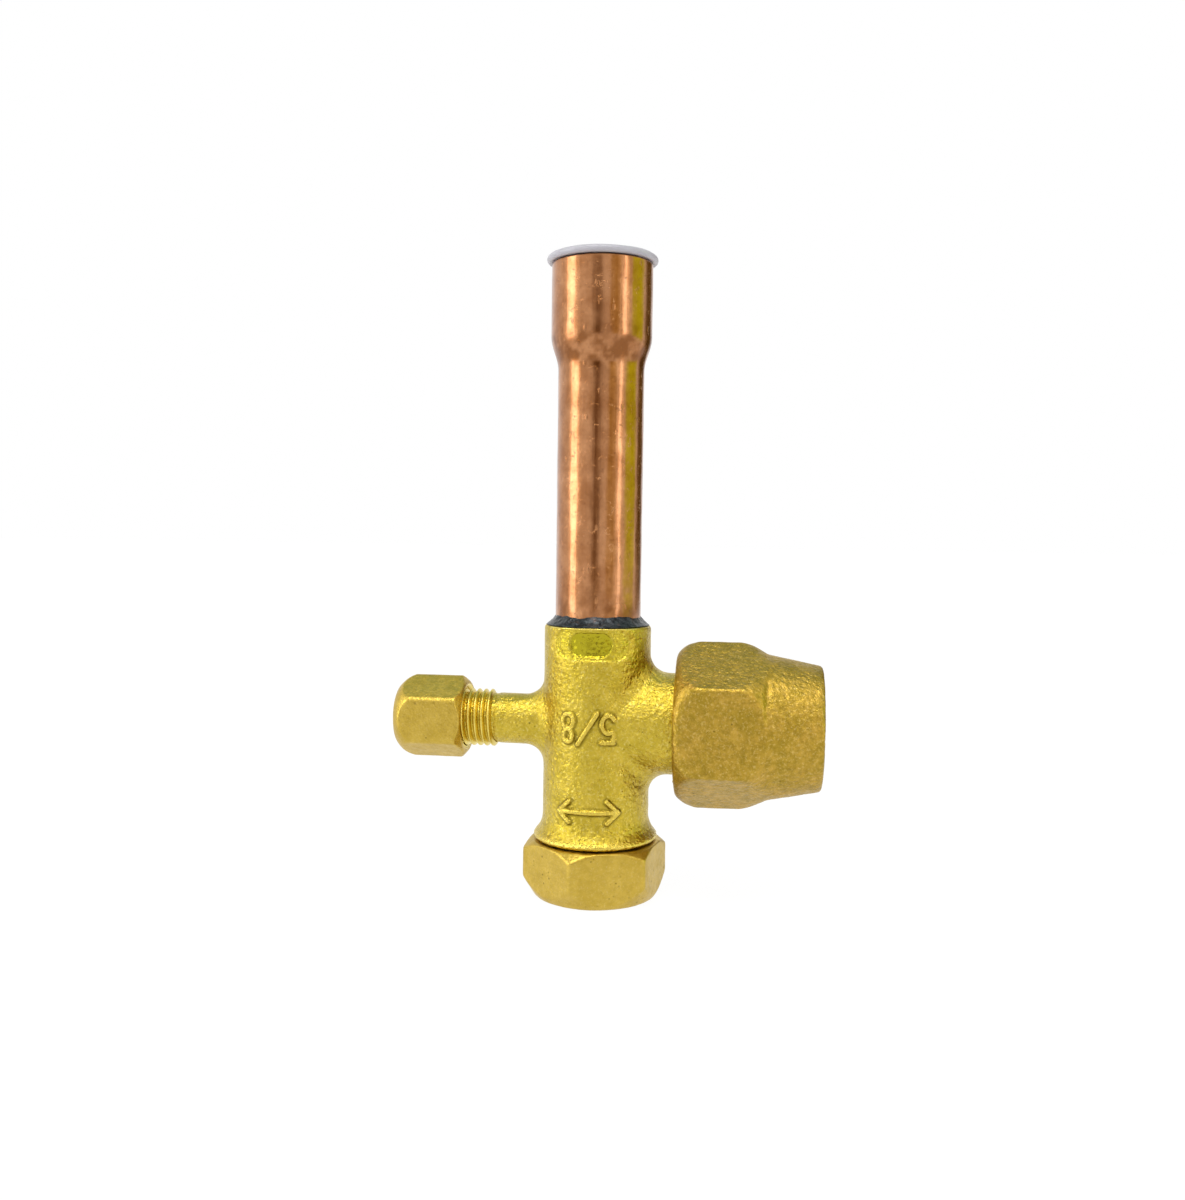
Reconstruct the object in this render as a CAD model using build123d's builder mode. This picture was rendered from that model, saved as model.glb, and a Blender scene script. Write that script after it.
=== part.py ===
from build123d import *
import os
from math import sqrt

# A refrigerant service valve for a split air conditioner, in millimetres.
# It stands on its stem cap. The origin is the middle of that cap's end face, +Z runs up the
# main axis to the open end of the copper stub, and +X points out of the flare port.
# Each screw thread is left as its plain shank: an outside thread at its root diameter, and
# an inside thread at its full diameter.

os.makedirs("parts", exist_ok=True)

# ---------------------------------------------------------------- driving dimensions
# Fits
running_clearance = 0.05  # on the radius, where one part turns or slides in another
seat_gap = 0.1  # end play where one part seats on the next
thread_chamfer = 0.5  # lead-in at the mouth of each threaded bore

# Copper stub, made for 5/8 inch line
line_diameter = 15.88
line_wall = 1.25
stub_length = 72.7  # from the floor of its socket in the body to the open end
bell_bore = 16.1  # the belled end takes the line's own outside
bell_length = 13.2
bell_taper = 6.2
braze_height = 2.0
braze_diameter = 19.2
braze_hollow = 9.0  # radius of its concave face

# Forged body
port_height = 32.5  # axis of both side ports, above the foot of the valve
body_diameter = 19.8
body_above_port = 18.2
socket_depth = 6.7
port_fillet = 3.6
body_edge = 0.3
pad_width = 15.0  # shallow oblong pressed into the front of the body
pad_height = 5.6
pad_depth = 0.15
pad_above_port = 15.1
oval_width = 8.2  # smaller oval pressed deeper in the middle of the pad
oval_height = 4.2
oval_depth = 0.35

# Collar and the spigot below it that carries the stem cap
collar_diameter = 23.3
collar_flare = 5.3  # radius of the concave flare above the collar
collar_lip = 0.7
spigot_thread = 19.0
spigot_pitch = 25.4 / 16
spigot_relief = 1.0  # width of the groove behind the thread
spigot_relief_depth = 0.25

# Stem
gland_diameter = 14.0  # bore that the stem's O-rings slide in
stem_thread = 13.0
stem_pitch = 1.0
stem_thread_length = 12.0
stem_travel = 7.0
stem_land = 0.5
o_ring_section = 1.7
o_ring_groove = 2.0
key_across_flats = 5.0  # hexagon socket for the service key
key_depth = 6.0
plug_head_diameter = 11.2
plug_neck_diameter = 8.8
plug_tip_diameter = 8.0
plug_head_length = 3.2
chamber_diameter = 12.0
seat_height = 38.4  # where the chamber's 45 degree seat starts
seat_bore = 9.0

# Retaining ring that stops the stem
ring_thickness = 0.8
ring_setback = 0.6
ring_outside = 15.0
ring_inside = 11.0
ring_opening = 4.0  # width of the gap that lets the ring close up

# Stem cap
cap_across_flats = 24.0
cap_corner = 1.0
cap_turned = 18.3  # degrees from +X to a corner of the hexagon
cap_height = 10.5
cap_foot_diameter = 22.7
cap_foot_round = 0.4
cap_foot_chamfer = 3.9  # height of the long chamfer round the foot
cap_top_diameter = 24.0
cap_top_chamfer = 1.6
cap_floor = 3.2
cap_gasket_thickness = 0.9
cap_collar_gap = 0.3

# Flare port, 5/8 inch
neck_diameter = 18.8
port_bore = 11.0
flare_bore = 12.5
flare_bore_depth = 8.6
flare_thread = 22.1
flare_pitch = 25.4 / 14
flare_thread_start = 16.0
flare_reach = 30.6  # end of the 45 degree cone, from the main axis
flare_tip_diameter = 14.0

# Flare nut and the seal bonnet shipped inside it
nut_across_flats = 27.0
nut_turned = -2.3  # degrees from having a flat square to the front
nut_start = 14.6
nut_hex_length = 16.8
nut_length = 26.9
nut_face_diameter = 26.0
nut_face_chamfer = 2.8
nut_shoulder_length = 3.3
nut_cone_diameter = 26.8
nut_nose_diameter = 22.9
nut_nose_round = 0.8
nut_lead = 0.56  # how much wider the bore is where the lead starts
bonnet_thickness = 1.1
bonnet_diameter = 19.6

# Service port, 1/4 inch, and the valve core inside it
service_neck = 9.45
service_thread = 11.0
service_pitch = 1.27
service_relief_start = 18.6
service_relief = 0.7
service_relief_depth = 0.35
service_reach = 31.9
service_tip_diameter = 6.4
core_bore = 5.3
core_bore_depth = 6.0
core_seat_length = 1.2
core_lower_bore = 4.2
service_passage = 3.2

# Service cap
service_cap_across_flats = 14.0
service_cap_corner = 1.5
service_cap_start = 24.6
service_cap_length = 13.3
service_cap_mouth = 13.2
service_cap_mouth_chamfer = 1.3
service_cap_end = 10.8
service_cap_crown_length = 4.1
service_cap_crown = 6.0  # radius of the arc from the end face to the hexagon's corners
service_gasket_thickness = 1.5

# Valve core
core_setback = 1.2  # outer end of the core below the port's mouth
core_tongue_length = 1.4
core_tongue_width = 2.4
core_head_length = 3.6
core_length = 9.2
core_barrel_diameter = 3.6
core_barrel_bore = 2.5
core_end_wall = 1.2
core_seal_start = 4.5
core_seal_length = 1.5
pin_diameter = 0.9
pin_setback = 0.5
pin_collar_diameter = 2.2
pin_collar_thickness = 0.4
pin_collar_below = 0.5
pin_travel = 1.6
pin_seal_diameter = 3.0
pin_seal_thickness = 0.9
pin_cup_wall = 0.2
pin_cup_floor = 0.4
pin_tail = 0.6
pin_end_play = 0.6  # left beyond the cup when the pin is pressed right in
spring_wire = 0.3
spring_diameter = 1.7
spring_turns = 6

# Soft plug in the open end of the stub
plug_flange_diameter = 20.4
plug_flange_thickness = 1.4
plug_flange_dome = 0.3
plug_depth = 9.0
plug_wall = 1.0

# ---------------------------------------------------------------- sizes that follow
THREAD_DEPTH = 0.6134  # depth of a 60 degree thread for each unit of its pitch
HEXAGON_CORNER = 1 / sqrt(3)  # corner radius of a hexagon for each unit across its flats
body_radius = body_diameter / 2
body_top = port_height + body_above_port
socket_floor = body_top - socket_depth
stub_top = socket_floor + stub_length
line_radius = line_diameter / 2
socket_radius = line_radius + running_clearance
bell_radius = bell_bore / 2 + line_wall
bell_start = stub_top - bell_length

collar_underside = cap_height + cap_collar_gap
spigot_end = cap_floor + cap_gasket_thickness + seat_gap
spigot_radius = spigot_thread / 2 - THREAD_DEPTH * spigot_pitch
flare_root_radius = flare_thread / 2 - THREAD_DEPTH * flare_pitch
service_root_radius = service_thread / 2 - THREAD_DEPTH * service_pitch
stem_root_radius = stem_thread / 2 - THREAD_DEPTH * stem_pitch

ring_bottom = spigot_end + ring_setback
ring_top = ring_bottom + ring_thickness
stem_end = ring_top + seat_gap
stem_head_length = 3 * stem_land + 2 * o_ring_groove
stem_thread_start = stem_end + stem_head_length + seat_gap + stem_land
stem_thread_end = stem_thread_start + stem_thread_length
gland_radius = gland_diameter / 2
gland_top = stem_end + stem_head_length + stem_travel + seat_gap
tapped_top = stem_thread_end + stem_travel + stem_land
chamber_radius = chamber_diameter / 2
plug_radius = plug_head_diameter / 2
plug_shoulder = seat_height + chamber_radius - plug_radius - running_clearance - stem_travel

bonnet_x = flare_reach + seat_gap
nut_seat_x = bonnet_x + bonnet_thickness + seat_gap
flare_tip_radius = flare_tip_diameter / 2
nut_bore_radius = line_radius + 2 * running_clearance
nut_lead_radius = nut_bore_radius + nut_lead
nut_thread_radius = flare_thread / 2 + running_clearance
nut_end = nut_start + nut_length

spring_start = core_setback + core_tongue_length + pin_collar_below + pin_collar_thickness
core_end = core_setback + core_length
pin_seal_x = core_end + running_clearance
cup_floor_x = pin_seal_x + pin_seal_thickness
cup_end = cup_floor_x + pin_cup_floor
core_lower_depth = cup_end + pin_travel + pin_end_play

main_axis = Axis.Z
side_plane = Plane(origin=(0, 0, port_height), x_dir=(1, 0, 0), z_dir=(0, -1, 0))
side_axis = Axis((0, 0, port_height), (1, 0, 0))
# The service port is drawn from its mouth inwards, with its own x running back to the body.
mouth_plane = Plane(origin=(-service_reach, 0, port_height), x_dir=(1, 0, 0), z_dir=(0, -1, 0))
nut_plane = Plane(origin=(nut_start, 0, port_height), x_dir=(0, 1, 0), z_dir=(1, 0, 0))
service_cap_plane = Plane(
    origin=(-service_cap_start, 0, port_height), x_dir=(0, 1, 0), z_dir=(-1, 0, 0)
)


def save(piece, node):
    """Label one finished piece and write it as its own STEP file."""
    piece.part.label = node
    export_step(piece.part, f"parts/{node}.step")


def turned(plane, axis, points):
    """Turn a closed outline of straight lines about an axis, as a lathe would."""
    with BuildSketch(plane) as section:
        with BuildLine():
            Polyline(*points, close=True)
        make_face()
    revolve(section.sketch, axis=axis)


# ---------------------------------------------------------------- forged body
# Each pressed oval is the part of a slot-shaped block that lies outside a slightly smaller body.
pad_tools = []
for width, height, depth in (
    (pad_width, pad_height, pad_depth),
    (oval_width, oval_height, oval_depth),
):
    with BuildPart() as pad_tool:
        with BuildSketch(side_plane):
            with Locations((0, pad_above_port)):
                SlotOverall(width, height)
        extrude(amount=body_diameter)
        with Locations((0, 0, port_height)):
            Cylinder(body_radius - depth, 4 * body_above_port, mode=Mode.SUBTRACT)
    pad_tools.append(pad_tool.part)

collar_radius = collar_diameter / 2
flare_rise = sqrt(collar_flare**2 - (collar_flare - collar_radius + body_radius) ** 2)
lip_top = collar_underside + collar_lip
relief_radius = spigot_radius - spigot_relief_depth

with BuildPart() as valve_body:
    # Outside of the main barrel, from the spigot up through the flared collar.
    with BuildSketch(Plane.XZ):
        with BuildLine():
            Polyline(
                (0, body_top),
                (0, spigot_end),
                (spigot_radius - thread_chamfer, spigot_end),
                (spigot_radius, spigot_end + thread_chamfer),
                (spigot_radius, collar_underside - spigot_relief),
                (relief_radius, collar_underside - spigot_relief + spigot_relief_depth),
                (relief_radius, collar_underside),
                (collar_radius - body_edge, collar_underside),
                (collar_radius, collar_underside + body_edge),
                (collar_radius, lip_top),
            )
            RadiusArc(
                (collar_radius, lip_top), (body_radius, lip_top + flare_rise), collar_flare
            )
            Polyline(
                (body_radius, lip_top + flare_rise), (body_radius, body_top), (0, body_top)
            )
        make_face()
    revolve(axis=main_axis)

    # Necks of the two side ports.
    with BuildSketch(side_plane):
        Rectangle(flare_thread_start, neck_diameter / 2, align=(Align.MIN, Align.MIN))
        Rectangle(service_relief_start, service_neck / 2, align=(Align.MAX, Align.MIN))
    revolve(axis=side_axis)
    junctions = valve_body.edges().filter_by(GeomType.BSPLINE)
    fillet(junctions, radius=port_fillet)
    top_rim = valve_body.faces().filter_by(GeomType.PLANE).sort_by(Axis.Z)[-1]
    chamfer(top_rim.edges(), length=body_edge)

    # Threaded end of the flare port, with its 45 degree sealing cone.
    turned(
        side_plane,
        side_axis,
        [
            (0, 0),
            (0, neck_diameter / 4),
            (flare_thread_start, neck_diameter / 2),
            (flare_thread_start + flare_root_radius - neck_diameter / 2, flare_root_radius),
            (flare_reach - flare_root_radius + flare_tip_radius, flare_root_radius),
            (flare_reach, flare_tip_radius),
            (flare_reach, 0),
        ],
    )
    # Threaded end of the service port, behind a narrow relief.
    turned(
        mouth_plane,
        side_axis,
        [
            (0, 0),
            (0, service_tip_diameter / 2),
            (service_root_radius - service_tip_diameter / 2, service_root_radius),
            (service_reach - service_relief_start - service_relief, service_root_radius),
            (
                service_reach - service_relief_start - service_relief,
                service_neck / 2 - service_relief_depth,
            ),
            (
                service_reach - service_relief_start,
                service_neck / 2 - service_relief_depth,
            ),
            (service_reach - body_radius / 2, service_neck / 4),
            (service_reach - body_radius / 2, 0),
        ],
    )

    # Main bore: gland, tapped length, chamber, 45 degree seat and the socket for the stub.
    with BuildSketch(Plane.XZ):
        with BuildLine():
            Polyline(
                (0, spigot_end),
                (gland_radius, spigot_end),
                (gland_radius, gland_top),
                (stem_thread / 2 + running_clearance, gland_top),
                (stem_thread / 2 + running_clearance, tapped_top),
                (chamber_radius, tapped_top),
                (chamber_radius, seat_height),
                (seat_bore / 2, seat_height + chamber_radius - seat_bore / 2),
                (seat_bore / 2, socket_floor),
                (socket_radius, socket_floor),
                (socket_radius, body_top),
                (0, body_top),
                close=True,
            )
        make_face()
        with Locations((0, ring_bottom - seat_gap / 2)):
            Rectangle(
                ring_outside / 2 + running_clearance,
                ring_thickness + seat_gap,
                align=(Align.MIN, Align.MIN),
            )
    revolve(axis=main_axis, mode=Mode.SUBTRACT)

    # Flow passage of the flare port.
    with BuildSketch(side_plane):
        Rectangle(flare_reach, port_bore / 2, align=(Align.MIN, Align.MIN))
        with Locations((flare_reach, 0)):
            Rectangle(flare_bore_depth, flare_bore / 2, align=(Align.MAX, Align.MIN))
    revolve(axis=side_axis, mode=Mode.SUBTRACT)

    # Stepped bore that the valve core screws into.
    with BuildSketch(mouth_plane):
        with BuildLine():
            Polyline(
                (0, 0),
                (0, core_bore / 2),
                (core_bore_depth, core_bore / 2),
                (core_bore_depth + core_seat_length, core_lower_bore / 2),
                (core_lower_depth, core_lower_bore / 2),
                (core_lower_depth, service_passage / 2),
                (service_reach, service_passage / 2),
                (service_reach, 0),
                close=True,
            )
        make_face()
    revolve(axis=side_axis, mode=Mode.SUBTRACT)

    add(pad_tools, mode=Mode.SUBTRACT)
save(valve_body, "valve_body")

# ---------------------------------------------------------------- copper stub and its joint
with BuildPart() as copper_stub:
    with BuildSketch(Plane.XZ):
        with BuildLine():
            Polyline(
                (bell_bore / 2, bell_start),
                (bell_bore / 2, stub_top),
                (bell_radius, stub_top),
                (bell_radius, bell_start),
            )
            Spline(
                (bell_radius, bell_start),
                (line_radius, bell_start - bell_taper),
                tangents=((0, -1), (0, -1)),
            )
            Polyline(
                (line_radius, bell_start - bell_taper),
                (line_radius, socket_floor),
                (line_radius - line_wall, socket_floor),
                (line_radius - line_wall, bell_start - bell_taper),
            )
            Spline(
                (line_radius - line_wall, bell_start - bell_taper),
                (bell_bore / 2, bell_start),
                tangents=((0, 1), (0, 1)),
            )
        make_face()
    revolve(axis=main_axis)
save(copper_stub, "copper_stub")

with BuildPart() as braze_fillet:
    with BuildSketch(Plane.XZ):
        with BuildLine():
            Polyline(
                (line_radius, body_top + braze_height),
                (line_radius, body_top),
                (braze_diameter / 2, body_top),
            )
            RadiusArc(
                (braze_diameter / 2, body_top),
                (line_radius, body_top + braze_height),
                braze_hollow,
            )
        make_face()
    revolve(axis=main_axis)
save(braze_fillet, "braze_fillet")

# ---------------------------------------------------------------- soft end plug
barrel_radius = bell_bore / 2 - running_clearance
flange_radius = plug_flange_diameter / 2
flange_under = stub_top + seat_gap
flange_top = stub_top + plug_flange_thickness
rim_round = (flange_top - flange_under) / 2
with BuildPart() as tube_plug:
    with BuildSketch(Plane.XZ):
        with BuildLine():
            Polyline(
                (0, flange_top - plug_wall),
                (barrel_radius - plug_wall, flange_top - plug_wall),
                (barrel_radius - plug_wall, stub_top - plug_depth),
                (barrel_radius - plug_wall / 2, stub_top - plug_depth),
                (barrel_radius, stub_top - plug_depth + plug_wall),
                (barrel_radius, flange_under),
                (flange_radius - rim_round, flange_under),
            )
            ThreePointArc(
                (flange_radius - rim_round, flange_under),
                (flange_radius, flange_under + rim_round),
                (flange_radius - rim_round, flange_top),
            )
            TangentArc(
                (0, flange_top + plug_flange_dome),
                (flange_radius - rim_round, flange_top),
                tangent=(1, 0),
            )
            Line((0, flange_top + plug_flange_dome), (0, flange_top - plug_wall))
        make_face()
    revolve(axis=main_axis)
save(tube_plug, "tube_plug")

# ---------------------------------------------------------------- stem, its O-rings and ring
groove_floor = gland_radius - 2 * running_clearance - o_ring_section
o_ring_height = {
    "stem_o_ring_outer": stem_end + stem_land + o_ring_groove / 2,
    "stem_o_ring_inner": stem_end + 2 * stem_land + 1.5 * o_ring_groove,
}
with BuildPart() as valve_stem:
    turned(
        Plane.XZ,
        main_axis,
        [
            (0, stem_end),
            (gland_radius - running_clearance, stem_end),
            (gland_radius - running_clearance, stem_end + stem_head_length),
            (stem_root_radius - stem_land, stem_end + stem_head_length),
            (stem_root_radius - stem_land, stem_thread_start - stem_land),
            (stem_root_radius, stem_thread_start),
            (stem_root_radius, stem_thread_end - stem_land),
            (stem_root_radius - stem_land, stem_thread_end),
            (plug_neck_diameter / 2, stem_thread_end),
            (plug_neck_diameter / 2, plug_shoulder - plug_head_length),
            (plug_radius, plug_shoulder - plug_head_length),
            (plug_radius, plug_shoulder),
            (plug_tip_diameter / 2, plug_shoulder + plug_radius - plug_tip_diameter / 2),
            (0, plug_shoulder + plug_radius - plug_tip_diameter / 2),
        ],
    )
    for height in o_ring_height.values():
        with BuildSketch(Plane.XZ):
            with Locations((groove_floor, height)):
                Rectangle(gland_radius, o_ring_groove, align=(Align.MIN, Align.CENTER))
        revolve(axis=main_axis, mode=Mode.SUBTRACT)
    with BuildSketch(Plane.XY.offset(stem_end)):
        RegularPolygon(key_across_flats / 2, 6, major_radius=False)
    extrude(amount=key_depth, mode=Mode.SUBTRACT)
save(valve_stem, "valve_stem")

for node, height in o_ring_height.items():
    with BuildPart() as o_ring:
        with BuildSketch(Plane.XZ):
            with Locations((groove_floor + running_clearance + o_ring_section / 2, height)):
                Circle(o_ring_section / 2)
        revolve(axis=main_axis)
    save(o_ring, node)

with BuildPart() as stem_retaining_ring:
    with BuildSketch(Plane.XY.offset(ring_bottom)):
        Circle(ring_outside / 2)
        Circle(ring_inside / 2, mode=Mode.SUBTRACT)
        with Locations((0, ring_inside / 2)):
            Rectangle(ring_opening, ring_outside, mode=Mode.SUBTRACT)
    extrude(amount=ring_thickness)
save(stem_retaining_ring, "stem_retaining_ring")

# ---------------------------------------------------------------- stem cap
cap_corner_radius = cap_across_flats * HEXAGON_CORNER
with BuildPart() as stem_cap:
    turned(
        Plane.XZ,
        main_axis,
        [
            (0, 0),
            (cap_foot_diameter / 2, 0),
            (cap_corner_radius, cap_foot_chamfer),
            (cap_corner_radius, cap_height - cap_top_chamfer),
            (cap_top_diameter / 2, cap_height),
            (0, cap_height),
        ],
    )
    with BuildSketch(Plane.XY):
        RegularPolygon(cap_across_flats / 2, 6, major_radius=False, rotation=cap_turned)
        fillet(vertices(), radius=cap_corner)
    extrude(amount=cap_height, mode=Mode.INTERSECT)
    foot = stem_cap.faces().sort_by(Axis.Z)[0]
    fillet(foot.edges(), radius=cap_foot_round)
    with BuildSketch(Plane.XZ):
        with BuildLine():
            Polyline(
                (0, cap_floor),
                (spigot_thread / 2 + running_clearance, cap_floor),
                (spigot_thread / 2 + running_clearance, cap_height - thread_chamfer),
                (spigot_thread / 2 + running_clearance + thread_chamfer, cap_height),
                (0, cap_height),
                close=True,
            )
        make_face()
    revolve(axis=main_axis, mode=Mode.SUBTRACT)
save(stem_cap, "stem_cap")

with BuildPart() as stem_cap_gasket:
    with BuildSketch(Plane.XY.offset(cap_floor)):
        Circle(spigot_radius)
        Circle(gland_radius - cap_gasket_thickness, mode=Mode.SUBTRACT)
    extrude(amount=cap_gasket_thickness)
save(stem_cap_gasket, "stem_cap_gasket")

# ---------------------------------------------------------------- flare nut and seal bonnet
nut_corner_radius = nut_across_flats * HEXAGON_CORNER
nut_cone_x = nut_start + nut_hex_length
with BuildPart() as flare_nut:
    with BuildSketch(side_plane):
        with BuildLine():
            Polyline(
                (nut_start, 0),
                (nut_start, nut_face_diameter / 2),
                (nut_start + nut_face_chamfer, nut_corner_radius),
                (nut_cone_x - nut_shoulder_length, nut_corner_radius),
                (nut_cone_x, nut_cone_diameter / 2),
                (nut_end, nut_nose_diameter / 2),
                (nut_end, 0),
                close=True,
            )
        make_face()
    revolve(axis=side_axis)
    with BuildSketch(nut_plane):
        RegularPolygon(nut_across_flats / 2, 6, major_radius=False, rotation=30 + nut_turned)
    extrude(amount=nut_length, mode=Mode.INTERSECT)
    nose = flare_nut.faces().sort_by(Axis.X)[-1]
    fillet(nose.edges(), radius=nut_nose_round)
    # Thread bore, 45 degree seat, an easy lead that spares the root of the flared tube, and bore.
    with BuildSketch(side_plane):
        with BuildLine():
            Polyline(
                (nut_start, 0),
                (nut_start, nut_thread_radius + thread_chamfer),
                (nut_start + thread_chamfer, nut_thread_radius),
                (nut_seat_x + flare_tip_radius - nut_thread_radius, nut_thread_radius),
                (nut_seat_x + flare_tip_radius - nut_lead_radius, nut_lead_radius),
                (nut_seat_x, nut_bore_radius),
                (nut_end, nut_bore_radius),
                (nut_end, 0),
                close=True,
            )
        make_face()
    revolve(axis=side_axis, mode=Mode.SUBTRACT)
save(flare_nut, "flare_nut")

# The bonnet is a shallow cup with a 45 degree skirt that lies on the port's cone.
skirt = bonnet_diameter / 2 - flare_tip_radius
with BuildPart() as flare_seal_bonnet:
    turned(
        side_plane,
        side_axis,
        [
            (bonnet_x, 0),
            (bonnet_x, flare_tip_radius),
            (bonnet_x - skirt, bonnet_diameter / 2),
            (bonnet_x - skirt + bonnet_thickness, bonnet_diameter / 2),
            (bonnet_x + bonnet_thickness, flare_tip_radius),
            (bonnet_x + bonnet_thickness, 0),
        ],
    )
save(flare_seal_bonnet, "flare_seal_bonnet")

# ---------------------------------------------------------------- service cap
service_bore_radius = service_thread / 2 + running_clearance
service_cap_corner_radius = service_cap_across_flats * HEXAGON_CORNER
service_cap_floor = service_reach + service_gasket_thickness + seat_gap
service_cap_outer = service_cap_start + service_cap_length
with BuildPart() as service_cap:
    with BuildSketch(side_plane):
        with BuildLine():
            Polyline(
                (-service_cap_outer, 0),
                (-service_cap_start, 0),
                (-service_cap_start, service_cap_mouth / 2),
                (-service_cap_start - service_cap_mouth_chamfer, service_cap_corner_radius),
                (-service_cap_outer + service_cap_crown_length, service_cap_corner_radius),
            )
            RadiusArc(
                (-service_cap_outer + service_cap_crown_length, service_cap_corner_radius),
                (-service_cap_outer, service_cap_end / 2),
                -service_cap_crown,
            )
            Line((-service_cap_outer, service_cap_end / 2), (-service_cap_outer, 0))
        make_face()
    revolve(axis=side_axis)
    with BuildSketch(service_cap_plane):
        RegularPolygon(service_cap_across_flats / 2, 6, major_radius=False, rotation=30)
        fillet(vertices(), radius=service_cap_corner)
    extrude(amount=service_cap_length, mode=Mode.INTERSECT)
    with BuildSketch(side_plane):
        with BuildLine():
            Polyline(
                (-service_cap_start, 0),
                (-service_cap_start, service_bore_radius + thread_chamfer),
                (-service_cap_start - thread_chamfer, service_bore_radius),
                (-service_cap_floor, service_bore_radius),
                (-service_cap_floor, 0),
                close=True,
            )
        make_face()
    revolve(axis=side_axis, mode=Mode.SUBTRACT)
save(service_cap, "service_cap")

with BuildPart() as service_cap_gasket:
    with BuildSketch(Plane.YZ.offset(-service_cap_floor)):
        with Locations((0, port_height)):
            Circle(service_root_radius)
            Circle(core_bore / 4, mode=Mode.SUBTRACT)
    extrude(amount=service_gasket_thickness)
save(service_cap_gasket, "service_cap_gasket")

# ---------------------------------------------------------------- valve core
core_radius = core_bore / 2 - running_clearance
tongue_end = core_setback + core_tongue_length
with BuildPart() as core_barrel:
    turned(
        mouth_plane,
        side_axis,
        [
            (core_setback, 0),
            (core_setback, core_radius),
            (core_setback + core_head_length, core_radius),
            (core_setback + core_head_length, core_barrel_diameter / 2),
            (core_end, core_barrel_diameter / 2),
            (core_end, 0),
        ],
    )
    # The outer end is a flat tongue for the core key.
    with BuildSketch(Plane.YZ.offset(core_setback - service_reach)):
        with Locations((0, port_height)):
            Circle(2 * core_radius)
            Rectangle(core_tongue_width, 3 * core_radius, mode=Mode.SUBTRACT)
    extrude(amount=core_tongue_length, mode=Mode.SUBTRACT)
    with BuildSketch(mouth_plane):
        with Locations((core_setback, 0)):
            Rectangle(
                core_length, pin_diameter / 2 + 3 * running_clearance, align=(Align.MIN, Align.MIN)
            )
        with Locations((tongue_end, 0)):
            Rectangle(
                core_length - core_tongue_length - core_end_wall,
                core_barrel_bore / 2,
                align=(Align.MIN, Align.MIN),
            )
    revolve(axis=side_axis, mode=Mode.SUBTRACT)
save(core_barrel, "core_barrel")

# The ring is tapered to match the seat in the port's bore.
core_seal_x = core_setback + core_seal_start
seat_slope = (core_bore - core_lower_bore) / 2 / core_seat_length
with BuildPart() as core_barrel_seal:
    outer_at_seat = core_bore / 2 - running_clearance
    turned(
        mouth_plane,
        side_axis,
        [
            (core_seal_x, core_barrel_diameter / 2),
            (core_seal_x, outer_at_seat),
            (core_bore_depth, outer_at_seat),
            (
                core_seal_x + core_seal_length,
                outer_at_seat - seat_slope * (core_seal_x + core_seal_length - core_bore_depth),
            ),
            (core_seal_x + core_seal_length, core_barrel_diameter / 2),
        ],
    )
save(core_barrel_seal, "core_barrel_seal")

pin_end = cup_end + pin_tail
with BuildPart() as core_pin:
    with BuildSketch(mouth_plane):
        with Locations((pin_setback, 0)):
            Rectangle(pin_end - pin_setback, pin_diameter / 2, align=(Align.MIN, Align.MIN))
        with Locations((tongue_end + pin_collar_below, 0)):
            Rectangle(
                pin_collar_thickness, pin_collar_diameter / 2, align=(Align.MIN, Align.MIN)
            )
    revolve(axis=side_axis)
save(core_pin, "core_pin")

with BuildPart() as core_pin_seal:
    with BuildSketch(Plane.YZ.offset(pin_seal_x - service_reach)):
        with Locations((0, port_height)):
            Circle(pin_seal_diameter / 2)
            Circle(pin_diameter / 2, mode=Mode.SUBTRACT)
    extrude(amount=pin_seal_thickness)
save(core_pin_seal, "core_pin_seal")

with BuildPart() as core_pin_cup:
    turned(
        mouth_plane,
        side_axis,
        [
            (pin_seal_x + pin_seal_thickness / 2, pin_seal_diameter / 2),
            (pin_seal_x + pin_seal_thickness / 2, pin_seal_diameter / 2 + pin_cup_wall),
            (cup_end, pin_seal_diameter / 2 + pin_cup_wall),
            (cup_end, pin_diameter / 2),
            (cup_floor_x, pin_diameter / 2),
            (cup_floor_x, pin_seal_diameter / 2),
        ],
    )
save(core_pin_cup, "core_pin_cup")

# The spring lies between the pin's collar and the end wall of the barrel.
spring_room = core_end - core_end_wall - spring_start - 2 * running_clearance
spring_x = spring_start + running_clearance + spring_wire / 2 - service_reach
with BuildPart() as core_spring:
    with BuildLine():
        coil = Helix(
            pitch=(spring_room - spring_wire) / spring_turns,
            height=spring_room - spring_wire,
            radius=spring_diameter / 2,
            center=(spring_x, 0, port_height),
            direction=(1, 0, 0),
        )
    with BuildSketch(Plane(coil @ 0, z_dir=coil % 0)):
        Circle(spring_wire / 2)
    sweep(path=coil, is_frenet=True)
save(core_spring, "core_spring")
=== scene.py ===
# %% [markdown]
# # A refrigerant service valve
#
# This lesson dresses one valve from a split air conditioner: a forged brass body with a copper
# stub brazed into its top, a big flare nut on the right, a small cap on the charging port at the
# left and a hexagon cap at the foot, over the stem. The sizes are already right, because the
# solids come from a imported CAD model. What is left to make is what a lathe operator or a forge
# adds without being asked: soft edges, sandy skin, threads, raised marks, a wavy line of braze
# and copper that has been handled.

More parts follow.
